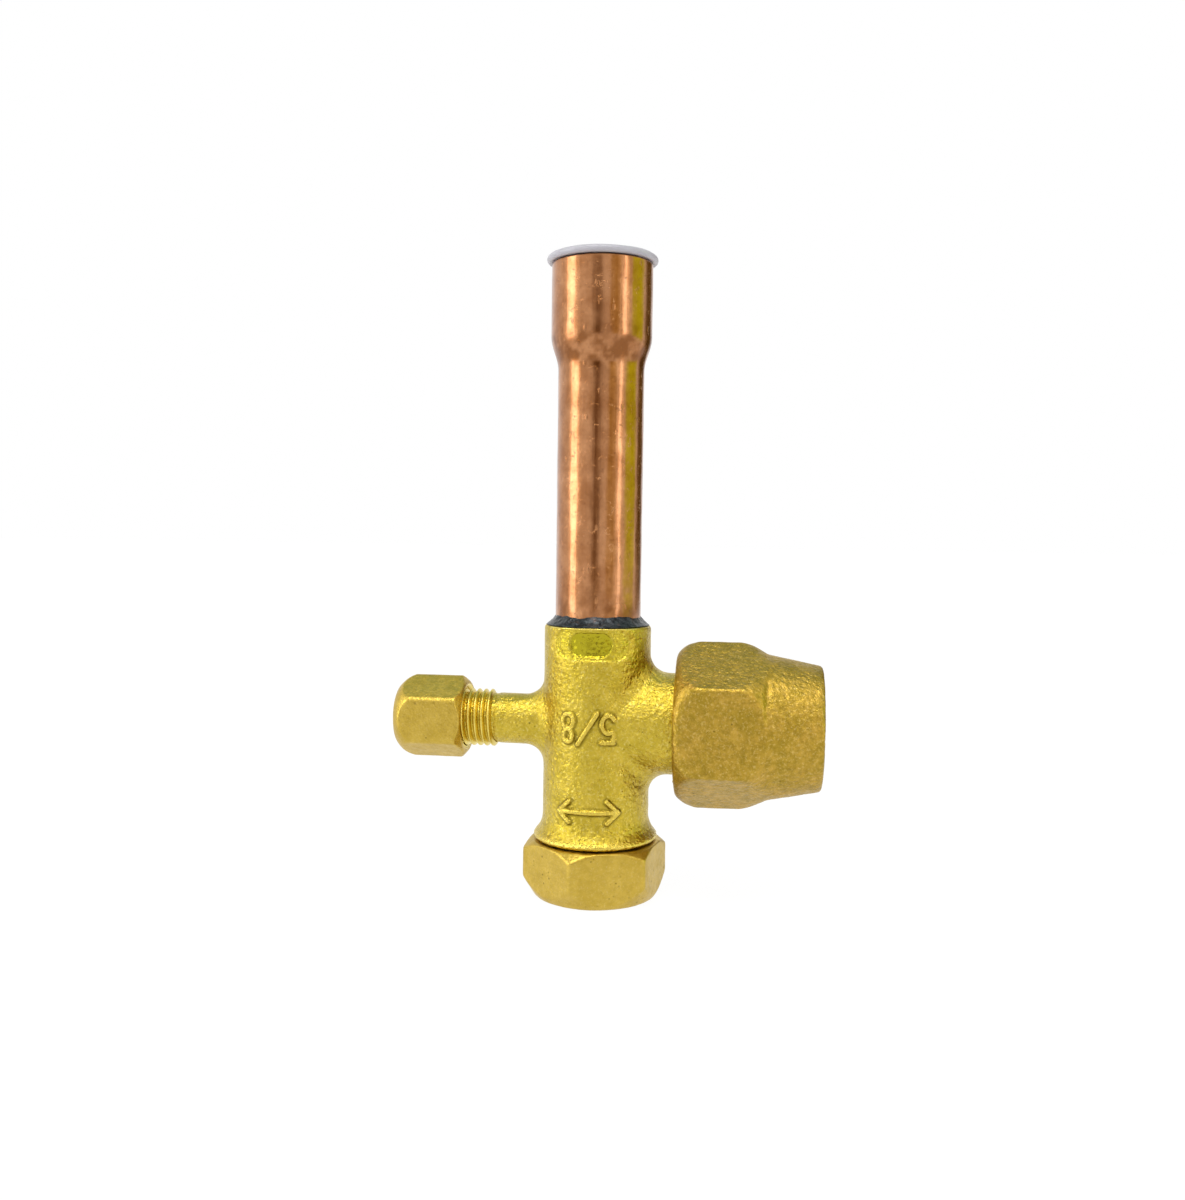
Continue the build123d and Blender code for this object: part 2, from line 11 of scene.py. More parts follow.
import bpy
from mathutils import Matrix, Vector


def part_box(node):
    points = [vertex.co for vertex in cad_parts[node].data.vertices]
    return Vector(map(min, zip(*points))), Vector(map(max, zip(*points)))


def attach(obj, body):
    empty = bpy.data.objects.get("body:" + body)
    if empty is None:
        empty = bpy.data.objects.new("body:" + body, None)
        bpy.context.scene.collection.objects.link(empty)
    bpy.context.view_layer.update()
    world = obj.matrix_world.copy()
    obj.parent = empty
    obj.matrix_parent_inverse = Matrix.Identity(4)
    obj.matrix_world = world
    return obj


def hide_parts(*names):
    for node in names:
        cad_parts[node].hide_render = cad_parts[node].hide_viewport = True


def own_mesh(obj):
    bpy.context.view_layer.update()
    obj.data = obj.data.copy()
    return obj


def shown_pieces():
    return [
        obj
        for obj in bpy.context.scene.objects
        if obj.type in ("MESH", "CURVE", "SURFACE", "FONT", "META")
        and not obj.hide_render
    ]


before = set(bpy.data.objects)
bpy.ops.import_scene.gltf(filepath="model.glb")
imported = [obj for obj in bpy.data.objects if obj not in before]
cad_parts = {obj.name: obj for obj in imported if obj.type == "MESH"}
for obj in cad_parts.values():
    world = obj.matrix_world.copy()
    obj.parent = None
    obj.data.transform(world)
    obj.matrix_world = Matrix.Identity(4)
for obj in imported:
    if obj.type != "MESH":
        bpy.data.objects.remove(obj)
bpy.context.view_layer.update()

# %% [markdown]
# The frame is in metres and a valve is made in millimetres, so one constant turns one into the
# other. Places are read from the solids' own boxes. The bonnet in the flare port is round, so the
# middle of its box is the height of both side ports.

# %% Read the main places from the solids
from math import cos, pi, radians, sin, tan, tau

import bmesh
import bpy
import numpy as np
from mathutils import Matrix, Vector, noise

mm = 0.001


def box_of(node):
    """Lowest and highest corner of a solid, in millimetres."""
    low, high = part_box(node)
    return low / mm, high / mm


bonnet_low, bonnet_high = box_of("flare_seal_bonnet")
body_low, body_high = box_of("valve_body")
stub_low, stub_high = box_of("copper_stub")
braze_low, braze_high = box_of("braze_fillet")
plug_low, plug_high = box_of("tube_plug")
port_height = (bonnet_low.z + bonnet_high.z) / 2
body_top = braze_low.z
stub_top = stub_high.z
print(f"ports at {port_height:.1f}, body top {body_top:.1f}, stub top {stub_top:.1f} mm")

# %% [markdown]
# ## Finishes
#
# Every finish below is a small network of nodes on a Principled surface. They all start the same
# way: object coordinates, so that a grain is as coarse as the real one wherever the piece is and
# stays on the piece when it turns, then noise at a few scales, then a ramp that turns the noise
# into colour, roughness or height. A little class keeps that wiring short.


# %% A short way to wire a finish
class Wires:
    """Adds nodes to a tree, with their sockets set or joined."""

    def __init__(self, tree, clear=False):
        self.nodes, self.links = tree.nodes, tree.links
        if clear:
            self.nodes.clear()

    def put(self, socket, value):
        """Joins a socket to another node's output, or sets it to a number or a colour."""
        if isinstance(value, bpy.types.NodeSocket):
            self.links.new(value, socket)
        elif socket.type == "RGBA":
            socket.default_value = (*value, 1)
        else:
            socket.default_value = value

    def node(self, kind, inputs=None, **settings):
        """The outputs of a new node."""
        node = self.nodes.new("ShaderNode" + kind)
        for name, value in settings.items():
            setattr(node, name, value)
        for socket, value in (inputs or {}).items():
            self.put(node.inputs[socket], value)
        return node.outputs

    def levels(self, value, low, high, out_low=0.0, out_high=1.0, **settings):
        """Stretches the part of a value between low and high over a new range."""
        ends = {"From Min": low, "From Max": high, "To Min": out_low, "To Max": out_high}
        return self.node("MapRange", {"Value": value, **ends}, **settings)["Result"]

    def combine(self, how, a, b=0.0):
        """Arithmetic on two values, either of which may be a plain number."""
        return self.node("Math", {0: a, 1: b}, operation=how)["Value"]

    def part(self, value, share):
        """A share of a value."""
        return self.combine("MULTIPLY", value, share)


print("sockets are set or joined by Wires.put")

# %% [markdown]
# A finish is wires round one Principled surface. Its noise sizes are given in millimetres, because
# that is how a grain is measured on the piece.


# %% Wire a finish
class Finish(Wires):
    """A material whose texture nodes read the piece's own coordinates."""

    def __init__(self, name, metallic, roughness, colour, **more):
        self.material = bpy.data.materials.new(name)
        self.material.use_nodes = True
        self.material.diffuse_color = (*colour, 1)
        super().__init__(self.material.node_tree)
        self.space = self.node("TexCoord")["Object"]
        self.feed(Metallic=metallic, Roughness=roughness, Base_Color=colour, **more)

    def feed(self, **values):
        """Sets or joins sockets of the surface, whose names are written with _ for a space."""
        surface = self.nodes["Principled BSDF"]
        for socket, value in values.items():
            self.put(surface.inputs[socket.replace("_", " ")], value)
        return self.material

    def stretched(self, x, y, z):
        """The same coordinates, squeezed along each axis so that a grain comes out drawn."""
        return self.node("Mapping", {"Vector": self.space, "Scale": (x, y, z)})["Vector"]

    def grain(self, size, detail=3.0, rough=0.55, space=None, warp=0.0):
        """Cloudy noise whose lumps are about that many millimetres across."""
        look = {"Detail": detail, "Roughness": rough, "Distortion": warp}
        where = {"Vector": space or self.space, "Scale": 1 / (size * mm)}
        return self.node("TexNoise", {**where, **look})["Fac"]

    def cells(self, size, space=None):
        """Distance to scattered points that are about that many millimetres apart."""
        where = {"Vector": space or self.space, "Scale": 1 / (size * mm)}
        return self.node("TexVoronoi", where)["Distance"]

    def attribute(self, name):
        """A value that the mesh code stored on the piece's points."""
        return self.node("Attribute", attribute_name=name)["Fac"]

    def blend(self, share, first, second):
        """Mixes two colours; share is how much of the second shows."""
        return self.node("Mix", {0: share, 6: first, 7: second}, data_type="RGBA")[2]

    def relief(self, height, depth, under=None):
        """Bump of that many millimetres from a value between 0 and 1."""
        inputs = {"Distance": depth * mm, "Height": height}
        if under is not None:
            inputs["Normal"] = under
        return self.node("Bump", inputs)["Normal"]


print("a finish is wired by", len([n for n in dir(Finish) if not n.startswith("_")]), "short calls")

# %% [markdown]
# ### Brass, three ways
#
# The body and the nut are hot forgings that were shot blasted, so their skin is a field of tiny
# dents that scatter light; the glints of single dents are painted into the colour as bright
# specks. The caps were blasted more finely. The threads were cut on a lathe and stay bright, with
# rings left by the tool. One function makes all of the blasted finishes, because they differ only
# in tone, in the size of the dents and in how much dark oxide is left in them. The wear value
# comes from the mesh and is high on ridges, where brass rubs against brass in the box and turns
# pale and smooth; that pale colour is partly a painted highlight too, and the pale band on the
# collar's lip is a painted highlight only.


# %% Blasted brass
def blasted_brass(name, tone, shade, glint_tone, dent, depth, rough, mottle, spots):
    """Blasted brass with painted glints, darker hollows, and worn ridges with a painted highlight."""
    finish = Finish(name, metallic=1.0, roughness=rough, colour=tone)
    part, levels, grain = finish.part, finish.levels, finish.grain
    clouds = levels(grain(3.6, detail=5, rough=0.6), 0.36, 0.66)
    patches = levels(grain(1.1, detail=4, rough=0.65), 0.4, 0.62)
    # Painted glints: bright specks in the colour stand in for light glinting off single dents.
    painted_glints = levels(grain(dent * 1.3, detail=4, rough=0.75), 0.52, 0.7)
    oxide = levels(grain(0.6, detail=5, rough=0.7), 0.62, 0.72)
    pit_field = levels(grain(6.0, detail=2), 0.52, 0.64)
    pits = part(levels(finish.cells(1.2), 0.2, 0.1), pit_field)
    worn, smooth, hollow = map(finish.attribute, ("worn", "die_face", "hollow"))
    # Darker where the oxide grain, the pits and the hollows of the skin are.
    darkening = finish.combine("MAXIMUM", part(oxide, 0.3), part(pits, 0.7))
    darkening = finish.combine("MAXIMUM", darkening, part(hollow, 0.8))
    patch_tone = tuple(0.72 * c for c in shade)
    darkening_tone = tuple(0.3 * c for c in shade)
    # Pale colour of rubbed ridges, which is also a painted highlight there and on the collar's lip.
    wear_and_highlight_tone = tuple(min(1.0, 1.2 * c + 0.05) for c in tone)
    pressed_tone = tuple(a * b for a, b in zip(shade, (0.92, 1.08, 0.7)))
    base = tone
    for share, over in (
        (part(clouds, 0.6), shade), (part(patches, mottle), patch_tone), (part(painted_glints, spots), glint_tone),
        (darkening, darkening_tone), (part(worn, 0.8), wear_and_highlight_tone), (part(smooth, 0.9), pressed_tone),
    ):
        base = finish.blend(share, base, over)
    matt = levels(grain(1.4, detail=3), 0.3, 0.7, rough - 0.06, rough + 0.1)
    shine = finish.combine("ADD", part(worn, 0.16), part(smooth, 0.08))
    sand = part(grain(dent, detail=2, rough=0.6), levels(smooth, 0, 1, 1.0, 0.25))
    bowls = levels(finish.cells(dent * 2.6), 0.1, 0.6)
    skin = finish.relief(bowls, depth * 0.5, under=finish.relief(sand, depth))
    roughness = finish.combine("SUBTRACT", matt, shine)
    return finish.feed(Base_Color=base, Roughness=roughness, Normal=skin)


# The bright speck colour paints the glints of the dents; spots is how much of it shows.
forged_brass = blasted_brass(
    "forged_brass",
    tone=(0.66, 0.49, 0.06), shade=(0.46, 0.34, 0.022), glint_tone=(1.0, 0.88, 0.34),
    dent=0.36, depth=0.16, rough=0.29, mottle=0.35, spots=0.4,
)
nut_brass = blasted_brass(
    "nut_brass",
    tone=(0.57, 0.36, 0.058), shade=(0.34, 0.235, 0.018), glint_tone=(0.76, 0.55, 0.18),
    dent=0.36, depth=0.13, rough=0.38, mottle=0.5, spots=0.7,
)
cap_brass = blasted_brass(
    "cap_brass",
    tone=(0.64, 0.45, 0.08), shade=(0.5, 0.34, 0.04), glint_tone=(0.86, 0.68, 0.28),
    dent=0.28, depth=0.045, rough=0.35, mottle=0.25, spots=0.3,
)
print("blasted brasses:", forged_brass.name, nut_brass.name, cap_brass.name)

# %% [markdown]
# The lathe's finish is plainer: a noise squeezed almost flat along the tool's path makes the
# rings.


# %% Turned brass
def turned_brass_finish(name):
    """Bright brass straight from the lathe, with faint tool rings about either main axis."""
    finish = Finish(name, metallic=1.0, roughness=0.2, colour=(0.8, 0.64, 0.15))
    rings = finish.grain(0.05, detail=2, space=finish.stretched(1, 0.02, 1))
    tarnish = finish.levels(finish.grain(2.2, detail=4), 0.4, 0.75)
    return finish.feed(
        Base_Color=finish.blend(tarnish, (0.82, 0.66, 0.16), (0.68, 0.52, 0.09)),
        Roughness=finish.levels(rings, 0.3, 0.7, 0.22, 0.36),
        Normal=finish.relief(rings, 0.004),
    )


turned_brass = turned_brass_finish("turned_brass")
print("turned brass:", turned_brass.name)

# %% [markdown]
# ### Copper
#
# Drawn copper tube is smooth and glossy, so most of what is seen in it is the studio. What
# belongs to the copper itself is its colour, which goes from pinkish where it is clean to brown
# where fingers and the brazing flame have been, long faint lines left by drawing, and short nicks
# from handling. The heat tint is strongest near the joint, and the colour is also darker brown in
# patches round the shoulder of the bell; both are mixed in by height.


# %% Drawn copper
def drawn_copper_finish(name):
    """Glossy drawn copper with tarnish, heat tint near the joint and small nicks."""
    finish = Finish(name, metallic=1.0, roughness=0.22, colour=(0.45, 0.19, 0.07),
                    Coat_Weight=0.4, Coat_Roughness=0.08)
    drawn = finish.grain(0.55, detail=3, space=finish.stretched(1, 1, 0.03))
    clouds = finish.levels(finish.grain(4.2, detail=6, rough=0.65), 0.36, 0.64)
    spots = finish.levels(finish.grain(1.1, detail=5, rough=0.7), 0.56, 0.72)
    tint_by_height = finish.attribute("heat_and_shoulder_tint")
    base = (0.54, 0.25, 0.105)
    for share, over in (
        (clouds, (0.34, 0.125, 0.034)), (finish.part(drawn, 0.4), (0.54, 0.25, 0.11)),
        (finish.part(spots, 0.6), (0.24, 0.08, 0.022)),
        (finish.part(tint_by_height, 0.85), (0.23, 0.075, 0.012)),
    ):
        base = finish.blend(share, base, over)
    nicks = finish.levels(finish.cells(2.6, space=finish.stretched(1, 1, 0.45)), 0.12, 0.05)
    scratch = finish.levels(finish.grain(1.3, detail=6, rough=0.75, warp=0.6), 0.6, 0.66)
    marks = finish.combine("MAXIMUM", nicks, finish.part(scratch, 0.5))
    gloss = finish.levels(drawn, 0.3, 0.7, 0.17, 0.27)
    return finish.feed(
        Base_Color=base,
        Roughness=finish.combine("ADD", gloss, finish.part(marks, 0.12)),
        Normal=finish.relief(marks, 0.035, under=finish.relief(drawn, 0.014)),
    )


drawn_copper = drawn_copper_finish("drawn_copper")
print("copper:", drawn_copper.name)

# %% [markdown]
# ### Braze, plastic, rubber, polymer and steel
#
# The braze was left with its glassy flux on: nearly black with a blue cast, and wet looking. The
# end plug is a soft milky plastic that lets some light through. The small hidden pieces get plain
# but finished surfaces too, because they show as soon as a cap or the nut is wound off.


# %% The other finishes
def flux_braze_finish(name):
    """Dark brazing metal under burnt, glassy flux."""
    finish = Finish(name, metallic=0.45, roughness=0.22, colour=(0.03, 0.034, 0.04),
                    Specular_IOR_Level=0.28)
    crust = finish.grain(0.9, detail=5, rough=0.65)
    rust = finish.levels(finish.grain(1.7, detail=3), 0.62, 0.72)
    base = finish.blend(finish.levels(crust, 0.4, 0.66), (0.01, 0.012, 0.015), (0.055, 0.065, 0.07))
    skin = finish.relief(finish.levels(finish.cells(1.7), 0.35, 0.1), 0.06)
    return finish.feed(
        Base_Color=finish.blend(finish.part(rust, 0.5), base, (0.13, 0.07, 0.05)),
        Roughness=finish.levels(crust, 0.3, 0.7, 0.12, 0.36),
        Normal=finish.relief(crust, 0.07, under=skin),
    )


def milky_plastic_finish(name):
    """Soft translucent plastic, a little grey, with the faint orange peel of a moulding."""
    milk = (0.52, 0.51, 0.545)
    finish = Finish(name, metallic=0.0, roughness=0.38, colour=milk, Subsurface_Weight=0.5,
                    Subsurface_Radius=(1.0, 0.9, 1.0), Subsurface_Scale=1.2 * mm)
    scuffs = finish.levels(finish.grain(1.5, detail=5, rough=0.7), 0.55, 0.7)
    return finish.feed(
        Base_Color=finish.blend(finish.part(scuffs, 0.4), milk, (0.43, 0.42, 0.465)),
        Roughness=finish.levels(scuffs, 0, 1, 0.34, 0.5),
        Normal=finish.relief(finish.grain(0.8, detail=2), 0.02),
    )


def moulded_finish(name, colour, spot, rough, size, depth):
    """A small moulded part: rubber or hard polymer with a fine, even grain."""
    finish = Finish(name, metallic=0.0, roughness=rough, colour=colour)
    dust = finish.levels(finish.grain(size * 3, detail=4), 0.5, 0.7)
    return finish.feed(
        Base_Color=finish.blend(finish.part(dust, 0.5), colour, spot),
        Roughness=finish.levels(dust, 0, 1, rough, rough + 0.12),
        Normal=finish.relief(finish.grain(size, detail=2), depth),
    )


def spring_steel_finish(name):
    """Drawn or stamped steel with a faint lengthwise grain."""
    finish = Finish(name, metallic=1.0, roughness=0.26, colour=(0.56, 0.57, 0.58))
    grain = finish.grain(0.12, detail=3, space=finish.stretched(1, 1, 0.2))
    return finish.feed(
        Base_Color=finish.blend(grain, (0.48, 0.49, 0.5), (0.64, 0.65, 0.66)),
        Roughness=finish.levels(grain, 0.3, 0.7, 0.2, 0.36),
        Normal=finish.relief(grain, 0.004),
    )


flux_braze = flux_braze_finish("flux_braze")
milky_plastic = milky_plastic_finish("milky_plastic")
seal_rubber = moulded_finish(
    "seal_rubber", (0.03, 0.03, 0.032), (0.07, 0.07, 0.07), rough=0.5, size=0.2, depth=0.01)
white_polymer = moulded_finish(
    "white_polymer", (0.78, 0.77, 0.73), (0.66, 0.64, 0.6), rough=0.35, size=0.2, depth=0.008)
spring_steel = spring_steel_finish("spring_steel")
print("finishes made:", len(bpy.data.materials))

# %% [markdown]
# ## Forged skins
#
# The solids have knife-sharp edges and perfect faces, and a forging has neither. A good way to
# soften a whole piece at once is to turn its surface into an even net of small squares, which
# Blender's voxel remesh does, and then to relax that net: each point moves a little towards the
# middle of its neighbours, so edges round off and faces hardly change. Because the net is even,
# the same step also tells how sharp the surface is at every point, and that becomes the wear on
# the ridges.


# %% Turn a solid into an even skin
def points_of(mesh):
    """All points of a mesh as rows of x, y, z, in millimetres."""
    flat = np.empty(len(mesh.vertices) * 3)
    mesh.vertices.foreach_get("co", flat)
    return flat.reshape(-1, 3) / mm


def put_points(mesh, points):
    """Writes rows of x, y, z in millimetres back to a mesh."""
    mesh.vertices.foreach_set("co", (points * mm).ravel())
    mesh.update()


def round_places(points):
    """Angle round the main axis and distance from it, for each point."""
    return np.arctan2(points[:, 1], points[:, 0]), np.hypot(points[:, 0], points[:, 1])


def welded_copy(node):
    """A copy of a solid's mesh whose faces share their edges again."""
    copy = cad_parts[node].data.copy()
    form = bmesh.new()
    form.from_mesh(copy)
    bmesh.ops.remove_doubles(form, verts=form.verts, dist=mm / 1000)
    form.to_mesh(copy)
    form.free()
    return copy


def mesh_of(form, name):
    """The mesh of a form, which is freed."""
    mesh = bpy.data.meshes.new(name)
    form.to_mesh(mesh)
    form.free()
    return mesh


def joined(meshes):
    """One mesh that holds several, their faces in the same order."""
    form = bmesh.new()
    for mesh in meshes:
        form.from_mesh(mesh)
    return mesh_of(form, "together")


def through_modifier(mesh, kind, **settings):
    """The mesh that one modifier makes of another mesh."""
    holder = bpy.data.objects.new("holder", mesh)
    bpy.context.scene.collection.objects.link(holder)
    modifier = holder.modifiers.new("step", kind)
    for name, value in settings.items():
        setattr(modifier, name, value)
    ready = holder.evaluated_get(bpy.context.evaluated_depsgraph_get())
    made = bpy.data.meshes.new_from_object(ready)
    bpy.data.objects.remove(holder)
    return made


print("points of the copper stub's solid:", len(points_of(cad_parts["copper_stub"].data)))

# %% [markdown]
# Relaxing needs to know which points are neighbours. The edges of the mesh say so once, and then a
# mean over neighbours is two passes of counting, however many points there are.


# %% Relax a net
class Net:
    """The neighbours of every point of a mesh, for moving points towards them."""

    def __init__(self, mesh):
        pairs = np.empty(len(mesh.edges) * 2, int)
        mesh.edges.foreach_get("vertices", pairs)
        a, b = pairs.reshape(-1, 2).T
        self.ends, self.others = np.concatenate((a, b)), np.concatenate((b, a))
        self.size = len(mesh.vertices)
        self.count = np.maximum(np.bincount(self.ends, minlength=self.size), 1)

    def mean(self, values):
        """The mean of each point's neighbours, for one value or for rows of three."""
        if values.ndim == 1:
            return np.bincount(self.ends, values[self.others], self.size) / self.count
        return np.stack([self.mean(column) for column in values.T], axis=1)

    def relaxed(self, values, rounds):
        """The values, each moved half way to its neighbours' mean, over and over."""
        for _ in range(rounds):
            values = values + 0.5 * (self.mean(values) - values)
        return values


def normals_of(mesh):
    """The direction that each point of a mesh faces."""
    flat = np.empty(len(mesh.vertices) * 3)
    mesh.vertex_normals.foreach_get("vector", flat)
    return flat.reshape(-1, 3)


def even_skin(mesh, square, rounds):
    """A relaxed voxel net over a closed mesh, and its neighbours."""
    skin = through_modifier(mesh, "REMESH", mode="VOXEL", voxel_size=square * mm)
    net = Net(skin)
    put_points(skin, net.relaxed(points_of(skin), rounds))
    return skin, net


def sharpness(skin, net, square):
    """How far each point stands out from its surroundings, in squares of the net."""
    points = points_of(skin)
    proud = np.einsum("ij,ij->i", points - net.relaxed(points, 6), normals_of(skin)) / square
    return net.relaxed(proud, 3)


body_solid = welded_copy("valve_body")
print("the body's solid has only", len(body_solid.vertices), "points")

# %% [markdown]
# ### Uneven surfaces
#
# Die faces wear, and blasting isn't even. Fractal noise, sampled at each point in the piece's own
# space, pushes the skin in and out by a few hundredths of a millimetre: too little to change a
# size, enough to break up a reflection. It takes the points' own normals as directions.


# %% Push a skin in and out
def lumps(points, size, octaves=3, seed=0.0):
    """Fractal noise between about -1 and 1 at each point, with lumps that many mm across."""
    shift = Vector((seed, 2 * seed, -seed))
    return np.array([noise.fractal(Vector(p / size) + shift, 1.0, 2.0, octaves) for p in points])


def pressed(skin, amount):
    """Moves each point along its normal by that many millimetres."""
    put_points(skin, points_of(skin) + normals_of(skin) * amount[:, None])


def soft_step(value, low, high):
    """0 below low, 1 above high and a smooth rise between."""
    t = np.clip((value - low) / (high - low), 0, 1)
    return t * t * (3 - 2 * t)


def store(mesh, name, values):
    """Keeps one value for each point, where a material can read it."""
    layer = mesh.attributes.new(name, "FLOAT", "POINT")
    layer.data.foreach_set("value", values.astype(np.float32))


sample = lumps(np.array([(0.0, 0.0, z) for z in range(60)]), 3.4)
print(f"lumps run from {sample.min():.2f} to {sample.max():.2f}")

# %% [markdown]
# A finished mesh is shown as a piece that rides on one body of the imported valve. Forged pieces take
# two finishes, so their faces are marked: forged skin first, turned metal and threads second.


# %% Show a finished mesh
def face_marks(mesh):
    """Which finish each face takes, by number."""
    marks = np.zeros(len(mesh.polygons), np.int32)
    mesh.polygons.foreach_get("material_index", marks)
    return marks


def show(name, mesh, finishes, body, stands_for=()):
    """Puts a finished mesh in the scene, riding on its body, in place of its solids."""
    mesh.name = name
    mesh.shade_smooth()
    marks = np.minimum(face_marks(mesh), len(finishes) - 1)
    mesh.materials.clear()
    for material in finishes:
        mesh.materials.append(material)
    mesh.polygons.foreach_set("material_index", marks)
    piece = bpy.data.objects.new(name, mesh)
    bpy.context.scene.collection.objects.link(piece)
    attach(piece, body)
    if stands_for:
        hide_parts(*stands_for)
    faces = sum(len(polygon.vertices) - 2 for polygon in mesh.polygons)
    print(f"{name}: {faces} triangles on {body}")
    return piece


def two_tone(skin, threads, is_forged):
    """A skin and its threads as one mesh; all but the forged faces take the second finish."""
    whole = joined([skin, *threads])
    middles = np.array([polygon.center for polygon in whole.polygons]) / mm
    ways = np.array([polygon.normal for polygon in whole.polygons])
    turned = ~is_forged(middles, ways)
    turned[len(skin.polygons):] = True
    whole.polygons.foreach_set("material_index", turned.astype(np.int32))
    return whole


# %% [markdown]
# ## Threads
#
# A screw thread is one ridge wound round a shank. The solids carry only the plain shanks, so here
# each ridge is swept along its helix and set a little way into the metal. The female thread in a
# cap is the same ridge turned inwards and half a pitch further on, which is exactly where it
# meshes. Both ends of a ridge fade out over half a turn, as they do where a tool runs out of the
# cut, and a limit keeps the ridge under the chamfer at the mouth.


# %% Wind a thread
class Thread:
    """A 60 degree screw thread on an axis: where it starts, which way it runs and its size."""

    depth = 0.6134  # of the pitch
    flat = 0.125  # of the pitch, on the crest
    rooted = 0.12  # mm set into the metal
    play = 0.04  # mm between the flanks
    steps = 72  # to a turn

    def __init__(self, start, along, diameter, pitch):
        self.start, self.along = Vector(start), Vector(along)
        self.side = Vector((0, 1, 0))
        self.up = self.along.cross(self.side)
        self.crest = diameter / 2
        self.root = self.crest - self.depth * pitch
        self.pitch = pitch

    def point(self, angle, distance, radius):
        spoke = self.side * cos(angle) + self.up * sin(angle)
        return (self.start + self.along * distance + spoke * radius) * mm

    def ridge(self, first, last, female=False, limit=None):
        """A closed ridge from first to last along the axis, in millimetres."""
        inwards = 1 if female else -1
        base, tip = self.root, self.crest - 0.12
        if female:
            base, tip = self.crest + 0.05, self.root + 0.1
        foot = base + inwards * self.rooted
        half_tip = self.pitch * self.flat / 2
        half_base = half_tip + self.depth * self.pitch * tan(pi / 6)
        if female:
            gap = self.pitch / 2 - self.play
            half_tip, half_base = gap - half_base, gap - half_tip
        half_tip = max(half_tip, 0.02 * self.pitch)
        half_round = half_tip + 0.22 * (half_base - half_tip)
        turns = (last - first) / self.pitch
        form = bmesh.new()
        rows = []
        for i in range(round(turns * self.steps) + 1):
            turn = i / self.steps
            fade = min(1.0, 2 * turn + 0.02, 2 * (turns - turn) + 0.02)
            sunk = inwards * 0.2 * (1 - fade)
            height = base + sunk + (tip - base) * fade
            middle = first + turn * self.pitch
            angle = tau * (middle / self.pitch - (0.5 if female else 0))
            if limit is not None:
                height = max(foot + sunk + 0.01, min(height, limit(middle)))
            rounded = base + sunk + 0.82 * (height - base - sunk)
            flank = ((half_base, foot + sunk), (half_base, base + sunk),
                     (half_round, rounded), (half_tip, height))
            corners = [(-out, r) for out, r in flank] + list(reversed(flank))
            rows.append([form.verts.new(self.point(angle, middle + out, r)) for out, r in corners])
        for before, after in zip(rows, rows[1:]):
            for j in range(len(before)):
                k = (j + 1) % len(before)
                form.faces.new((before[j], after[j], after[k], before[k]))
        form.faces.new(rows[0])
        form.faces.new(reversed(rows[-1]))
        bmesh.ops.recalc_face_normals(form, faces=form.faces)
        return mesh_of(form, "ridge")


service_port = Thread((0, 0, port_height), (-1, 0, 0), diameter=11.0, pitch=1.27)
flare_port = Thread((0, 0, port_height), (1, 0, 0), diameter=22.1, pitch=25.4 / 14)
cap_spigot = Thread((0, 0, 0), (0, 0, -1), diameter=19.0, pitch=25.4 / 16)
stem_screw = Thread((0, 0, 0), (0, 0, 1), diameter=13.0, pitch=1.0)
roots = [round(2 * thread.root, 2) for thread in (service_port, flare_port, cap_spigot)]
print("root diameters:", *roots)

# %% [markdown]
# ## The forged body
#
# The body is one forging with its marks raised on the barrel: the line size, five eighths, and
# below it a plain double arrow for the way the stem moves. On the real die both marks are turned
# to be read with the copper stub pointing down. A raised mark can be bars of metal joined to the
# barrel, but relaxing the skin would melt such thin bars away. So the marks are pressed into the
# finished skin instead: the barrel is unrolled flat, each point is measured to the nearest
# stroke, and points that are near a stroke are lifted, with a soft flank as a die leaves it.


# %% Draw the marks on the unrolled barrel
barrel_radius = 9.9
stroke_half = 0.5
stroke_rise = 0.5
arrow_height = 17.4


def arc(centre, radius_x, radius_y, start, end, steps=14):
    """Points along part of an ellipse, with angles in degrees."""
    angles = [radians(start + (end - start) * i / steps) for i in range(steps + 1)]
    return [(centre[0] + radius_x * cos(a), centre[1] + radius_y * sin(a)) for a in angles]


def to_stroke(places, path):
    """Distance from each flat place to a path of straight runs."""
    nearest = np.full(len(places), np.inf)
    for start, end in zip(np.array(path[:-1], float), np.array(path[1:], float)):
        run = end - start
        along = np.clip((places - start) @ run / (run @ run), 0, 1)
        nearest = np.minimum(nearest, np.hypot(*(places - start - along[:, None] * run).T))
    return nearest


def moved(path, u, v):
    """A path carried to its place, turned upside down as on the die."""
    return [(u - a, v - b) for a, b in path]


five = [(1.15, 2.45), (-0.95, 2.45), (-1.1, 0.5), *arc((-0.05, -0.85), 1.2, 1.6, 118, -150)]
eight_top = arc((0, 1.35), 0.9, 1.15, -90, 270, 24)
eight_foot = arc((0, -1.25), 1.1, 1.3, 90, 450, 24)
slash = [(-1.75, -2.8), (1.75, 2.8)]
arrow_shaft = [(-4.9, 0), (4.9, 0)]
arrow_heads = [[(side * 3.5, -1.9), (side * 5.6, 0), (side * 3.5, 1.9)] for side in (-1, 1)]
size_mark = [(five, -3.7), (slash, 0), (eight_top, 3.7), (eight_foot, 3.7)]
strokes = [moved([(u + shift, v) for u, v in path], -0.35, port_height + 0.1)
           for path, shift in size_mark]
strokes += [moved(path, -0.15, arrow_height) for path in (arrow_shaft, *arrow_heads)]
print("strokes in the marks:", len(strokes))

# %% [markdown]
# Near the top the die pressed a smooth oblong into the barrel with a deeper oval in its middle.
# The solids have both, and the skin's relaxing softens their rims, so the same unrolled plan
# makes the rims crisp again. It also marks the smooth places for the finish, which has no sand in
# them.
#
# Strokes one millimetre wide need a finer net than the rest. So the front of the barrel is
# divided once more before anything is pressed into it.


# %% Press the marks and the pads
pad_height = port_height + 15.1
pad_half, pad_round = 4.7, 2.8
oval_half, oval_round = 2.0, 2.1


